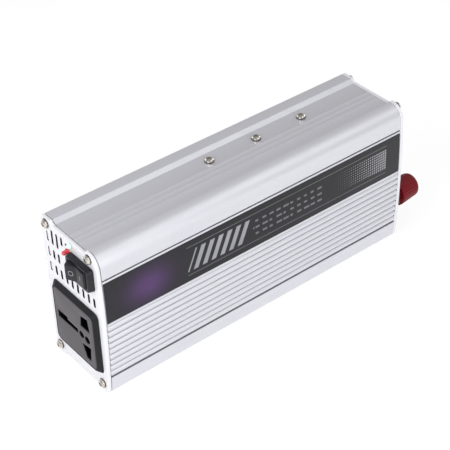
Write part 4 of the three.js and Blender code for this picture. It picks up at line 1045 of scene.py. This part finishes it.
terminal = {
    "collarRadius": 10, "collarLength": 4.5, "collarSoft": 0.2, "chamfer": 0.8, "chamferBend": 0.3,
    "spigotRadius": 5.5, "spigotLength": 3, "bore": 3.3, "stud": 3, "studTip": 0.5, "studOutside": 20.5,
    "studInside": 18, "flangeRadius": 6.5, "flangeThickness": 1.4, "flangeSoft": 0.2, "washerRadius": 6.5,
    "washerThickness": 1.2, "washerSoft": 0.15, "knobRadius": 10.3, "knobTop": 8.9, "knobLength": 18,
    "knobRound": 3.2, "knobSoft": 0.4, "knobBore": 13, "knobSteps": 8, "flutes": 24, "fluteDepth": 0.28,
    "fluteEnd": 1.2, "fluteFade": 2.5,
}
terminalSides = {"collar": 56, "stud": 40, "washer": 48, "knob": 144}


def fluteAt(angle, along):
    # How far a flute cuts in. It fades out towards the knob's outer end.
    wave = (1 - math.cos(angle * terminal["flutes"])) / 2
    left = terminal["knobLength"] - terminal["fluteEnd"] - along
    return terminal["fluteDepth"] * (1 - wave) ** 2 * min(1, max(0, left / terminal["fluteFade"]))


def softDisc(radius, low, high, soft):
    return [(radius - soft, low), (radius, low + soft), (radius, high - soft), (radius - soft, high)]


def collarProfile():
    radius, long, bore = terminal["collarRadius"], terminal["collarLength"], terminal["bore"]
    spigot, chamfer = terminal["spigotRadius"], terminal["chamfer"]
    bend = chamfer * terminal["chamferBend"]
    return [(bore, -terminal["spigotLength"]), (spigot, -terminal["spigotLength"]), (spigot, 0),
            (radius - terminal["collarSoft"], 0), (radius, terminal["collarSoft"]), (radius, long - chamfer),
            (radius - bend, long - bend), (radius - chamfer, long), (bore, long)]


def studProfile(inside):
    radius, outside, tip = terminal["stud"], terminal["studOutside"], terminal["studTip"]
    low = terminal["collarLength"] + plate["gap"]
    high = low + terminal["flangeThickness"]
    return [(0, inside), (radius, inside), (radius, low),
            *softDisc(terminal["flangeRadius"], low, high, terminal["flangeSoft"]),
            (radius, high), (radius, outside - tip), (radius - tip, outside), (0, outside)]


def washerProfile():
    bore, thick = terminal["bore"], terminal["washerThickness"]
    return [(bore, 0), *softDisc(terminal["washerRadius"], 0, thick, terminal["washerSoft"]), (bore, thick)]


def knobProfile():
    wide, top, steps = terminal["knobRadius"], terminal["knobTop"], terminal["knobSteps"]
    long, soft, bore = terminal["knobLength"], terminal["knobSoft"], terminal["bore"]
    shoulder = long - terminal["knobRound"]
    profile = [(0, terminal["knobBore"]), (bore, terminal["knobBore"]), (bore, 0), (wide - soft, 0)]
    profile += [(wide + (top - wide) * i / steps, soft + (shoulder - soft) * i / steps)
                for i in range(steps + 1)]
    profile += [(top - narrow, long - deep)
                for narrow, deep in reversed(quarterRound(terminal["knobRound"], steps)[:-1])]
    return profile + [(0, long)]


def addTerminal(side):
    seatX = plateOuter + plate["gap"]
    washerX = seatX + terminal["collarLength"] + 2 * plate["gap"] + terminal["flangeThickness"]
    knobX = washerX + terminal["washerThickness"] + plate["gap"]
    inside = plateInner - terminal["studInside"] - seatX
    plastic = f"{side}_plastic"
    for part, profile, x, closed, body, slotName in (
            ("collar", collarProfile(), seatX, True, "case", plastic),
            ("stud", studProfile(inside), seatX, False, "case", "terminal_brass"),
            ("washer", washerProfile(), washerX, True, f"{side}_washer", "screw_steel"),
            ("knob", knobProfile(), knobX, False, f"{side}_knob", plastic)):
        flute, sharp = (fluteAt, "knob") if part == "knob" else (None, "usual")
        mesh = lathe(profile, at(x, terminals[side], terminals["z"]), Vector((1, 0, 0)),
                     terminalSides[part], flute, closed)
        addPiece(f"{side}_{part}", mesh, body, slotName, [f"{side}_terminal_{part}"], sharp)


for side in ("red", "black"):
    addTerminal(side)
print("Lamps and terminals are made")


# Screws

screwSizes = {"Head Radius": 3, "Head Height": 2, "Dome Drop": 1, "Washer Radius": 3.3,
              "Washer Thickness": 0.5, "Shank Radius": 1.3, "Cross Length": 3.4, "Cross Width": 0.8,
              "Cross Depth": 1.1}
screwMesh = {"sides": 32, "rings": 6, "rows": 3, "shankSides": 16, "domePower": 3}
screwRows = {"lift": 0.06, "plateShank": 11, "fanShank": 14, "clampY": 8,
             "clampShares": (-0.0452, 0.1138, 0.2728)}


def screwTree():
    titles = [*screwSizes, "Shank Length"]
    tree, given, out = newTree("crossHeadScrews", [
        *((title, numberType) for title in titles), ("Aim", vectorType),
        ("Finish", materialType), ("Washer Finish", materialType),
    ])
    size = {title: Wire(tree, given[title]) for title in titles}

    def cylinder(part, depth, sides, fill="NGON", **more):
        node = addNode(tree, "GeometryNodeMeshCylinder", {"fill_type": fill}, Vertices=sides,
                       Radius=size[part + " Radius"], Depth=size[depth], **more)
        return node.outputs["Mesh"]

    def upwards(z):
        return addNode(tree, "ShaderNodeCombineXYZ", None, Z=z).outputs[0]

    def moved(mesh, z):
        return addNode(tree, "GeometryNodeTransform", None, Geometry=mesh, Translation=upwards(z)).outputs[0]

    head = cylinder("Head", "Head Height", screwMesh["sides"], "TRIANGLE_FAN",
                    Side_Segments=screwMesh["rows"], Fill_Segments=screwMesh["rings"])
    place = addNode(tree, "GeometryNodeInputPosition").outputs[0]
    parts = addNode(tree, "ShaderNodeSeparateXYZ", None, Vector=place).outputs
    flat = addNode(tree, "ShaderNodeCombineXYZ", None, X=parts["X"], Y=parts["Y"])
    reach = addNode(tree, "ShaderNodeVectorMath", {"operation": "LENGTH"})
    put(tree, reach.inputs[0], flat.outputs[0])
    share = Wire(tree, reach.outputs["Value"]) / size["Head Radius"]
    height = Wire(tree, parts["Z"]) / size["Head Height"] + 0.5
    drop = share ** screwMesh["domePower"] * height * size["Dome Drop"] * -1
    domed = addNode(tree, "GeometryNodeSetPosition", None, Geometry=head, Offset=upwards(drop)).outputs[0]

    thick = size["Washer Thickness"]
    cut = addNode(tree, "GeometryNodeMeshBoolean", {"operation": "DIFFERENCE"})
    put(tree, cut.inputs["Mesh 1"], moved(domed, size["Head Height"] * 0.5 + thick))
    for x, y in (("Cross Length", "Cross Width"), ("Cross Width", "Cross Length")):
        block = addNode(tree, "ShaderNodeCombineXYZ", None, X=size[x], Y=size[y], Z=size["Cross Depth"] * 2)
        arm = addNode(tree, "GeometryNodeMeshCube", None, Size=block.outputs[0]).outputs[0]
        tree.links.new(moved(arm, size["Head Height"] + thick), cut.inputs["Mesh 2"])
    ring = moved(cylinder("Washer", "Washer Thickness", screwMesh["sides"]), thick * 0.5)
    stem = moved(cylinder("Shank", "Shank Length", screwMesh["shankSides"]), size["Shank Length"] * -0.5)

    # The washers' faces are marked, so that their finish finds them again
    kind = {"data_type": "BOOLEAN"}
    marked = addNode(tree, "GeometryNodeStoreNamedAttribute", {**kind, "domain": "FACE"}, Geometry=ring,
                     Name="isWasher", Value=True).outputs[0]
    isWasher = addNode(tree, "GeometryNodeInputNamedAttribute", kind, Name="isWasher").outputs["Attribute"]
    turn = addNode(tree, "FunctionNodeAlignRotationToVector", {"axis": "Z"}, Vector=given["Aim"])
    spots = addNode(tree, "GeometryNodeInstanceOnPoints", None, Points=given["Geometry"],
                    Instance=joined(tree, cut.outputs["Mesh"], marked, stem), Rotation=turn.outputs[0])
    closeTree(tree, spots.outputs[0], out, [(given["Finish"], True), (given["Washer Finish"], isWasher)])
    return tree


def addScrews():
    tree = screwTree()
    end = plateOuter + screwRows["lift"]
    top = case["height"] - case["recess"] + screwRows["lift"]
    outletSpots = [at(-end, y, z) for y, z in plate["screws"]]
    batterySpots = [at(end, y, z) for y, z in plate["screws"]]
    fanSpots = [at(end, y, z) for y, z in fanCorners()]
    clampSpots = [at(share * case["length"], screwRows["clampY"], top) for share in screwRows["clampShares"]]
    sizes = {title: size * mm for title, size in screwSizes.items()}
    for name, spots, aim, shank, node in (
            ("outlet_plate_screws", outletSpots, (-1, 0, 0), "plateShank", "ac_plate_screw"),
            ("battery_plate_screws", batterySpots, (1, 0, 0), "plateShank", "dc_plate_screw"),
            ("fan_mount_screws", fanSpots, (1, 0, 0), "fanShank", "fan_screw"),
            ("top_clamp_screws", clampSpots, (0, 0, 1), "plateShank", "clamp_screw")):
        values = {**sizes, "Shank Length": screwRows[shank] * mm, "Aim": aim,
                  "Finish": materials["screw_steel"], "Washer Finish": darkSteel}
        bakedPiece(name, meshOfPoints(name, spots), tree, values, "case",
                   [f"{node}_{i + 1}" for i in range(len(spots))], "screw", ["isWasher"])


addScrews()
print("Screws are made")


# Room, light and camera

room = {"floorSize": 60, "floorColour": (0.9, 0.9, 0.905, 1), "white": (1, 1, 1, 1), "plainShare": 0.75,
        "plainStrength": 1.1, "worldStrength": 0.4}


def blendForRays(tree, titles, share, usual, plain, target):
    # These rays see the plain shader, and all others the usual one
    rays = tree.nodes.new("ShaderNodeLightPath").outputs
    seen = Wire(tree, rays[titles[0]])
    for title in titles[1:]:
        seen = seen.do("MAXIMUM", rays[title])
    blend = addNode(tree, "ShaderNodeMixShader", None, Fac=seen * share)
    put(tree, blend.inputs[1], usual.outputs[0])
    put(tree, blend.inputs[2], plain.outputs[0])
    put(tree, target, blend.outputs[0])


def makeFloor():
    half = room["floorSize"] / 2
    corners = [(-half, -half, 0), (half, -half, 0), (half, half, 0), (-half, half, 0)]
    data = meshOfPoints("studio_floor", corners, [(0, 1, 2, 3)])
    material = bpy.data.materials.new("studio_floor")
    material.use_nodes = True
    tree = material.node_tree
    tree.nodes.remove(tree.nodes["Principled BSDF"])
    matt = addNode(tree, "ShaderNodeBsdfDiffuse", None, Color=room["floorColour"])
    plain = addNode(tree, "ShaderNodeEmission", None, Color=room["white"], Strength=room["plainStrength"])
    blendForRays(tree, ("Is Camera Ray", "Is Glossy Ray", "Is Transmission Ray"), room["plainShare"],
                 matt, plain, tree.nodes["Material Output"].inputs["Surface"])
    data.materials.append(material)
    newObject("studio_floor", data)


def makeWorld():
    world = bpy.data.worlds.new("studio")
    world.use_nodes = True
    tree = world.node_tree
    soft = tree.nodes["Background"]
    soft.inputs["Color"].default_value = room["white"]
    soft.inputs["Strength"].default_value = room["worldStrength"]
    white = addNode(tree, "ShaderNodeBackground", None, Color=room["white"], Strength=1.0)
    blendForRays(tree, ("Is Camera Ray", "Is Transmission Ray"), 1,
                 soft, white, tree.nodes["World Output"].inputs["Surface"])
    bpy.context.scene.world = world


softboxes = {
    # Place and side in metres, and power
    "front_box": ((-0.1, -1.6, 0.5), 1.1, 10.8),
    "left_box": ((-0.6, -0.15, 0.5), 0.45, 3),
    "high_box": ((0.44, -0.55, 0.87), 0.75, 1.5),
    "back_box": ((-0.5, 1.5, 0.6), 1.1, 5),
    "right_box": ((1.5, 0.1, 0.35), 0.9, 5),
}


def addSoftboxes():
    aim = at(0, 0, case["height"] / 2)
    for name, (place, side, power) in softboxes.items():
        light = bpy.data.lights.new(name, "AREA")
        light.shape = "SQUARE"
        light.size = side
        light.energy = power
        holder = newObject(name, light)
        holder.location = place
        holder.rotation_euler = (aim - Vector(place)).to_track_quat("-Z", "Y").to_euler()


cameraFit = {"place": (-446.59, -564.45, 609.88), "yaw": 0.90803, "pitch": 0.65628, "roll": -0.0286,
             "lens": 107.585, "sensor": 36, "reach": 20}


def addCamera():
    yaw, pitch, roll = cameraFit["yaw"], cameraFit["pitch"], cameraFit["roll"]
    ahead = Vector((math.cos(yaw) * math.cos(pitch), math.sin(yaw) * math.cos(pitch), -math.sin(pitch)))
    level = Vector((math.sin(yaw), -math.cos(yaw), 0))
    raised = level.cross(ahead)
    right = level * math.cos(roll) + raised * math.sin(roll)
    up = raised * math.cos(roll) - level * math.sin(roll)
    data = bpy.data.cameras.new("view")
    data.lens = cameraFit["lens"]
    data.sensor_width = cameraFit["sensor"]
    data.clip_end = cameraFit["reach"]
    camera = newObject("view", data)
    turn = Matrix((right, up, -ahead)).transposed().to_4x4()
    camera.matrix_world = Matrix.Translation(at(*cameraFit["place"])) @ turn
    bpy.context.scene.camera = camera


makeFloor()
makeWorld()
addSoftboxes()
addCamera()
bpy.context.scene.view_settings.view_transform = "Standard"
print("Room, light and camera are set")
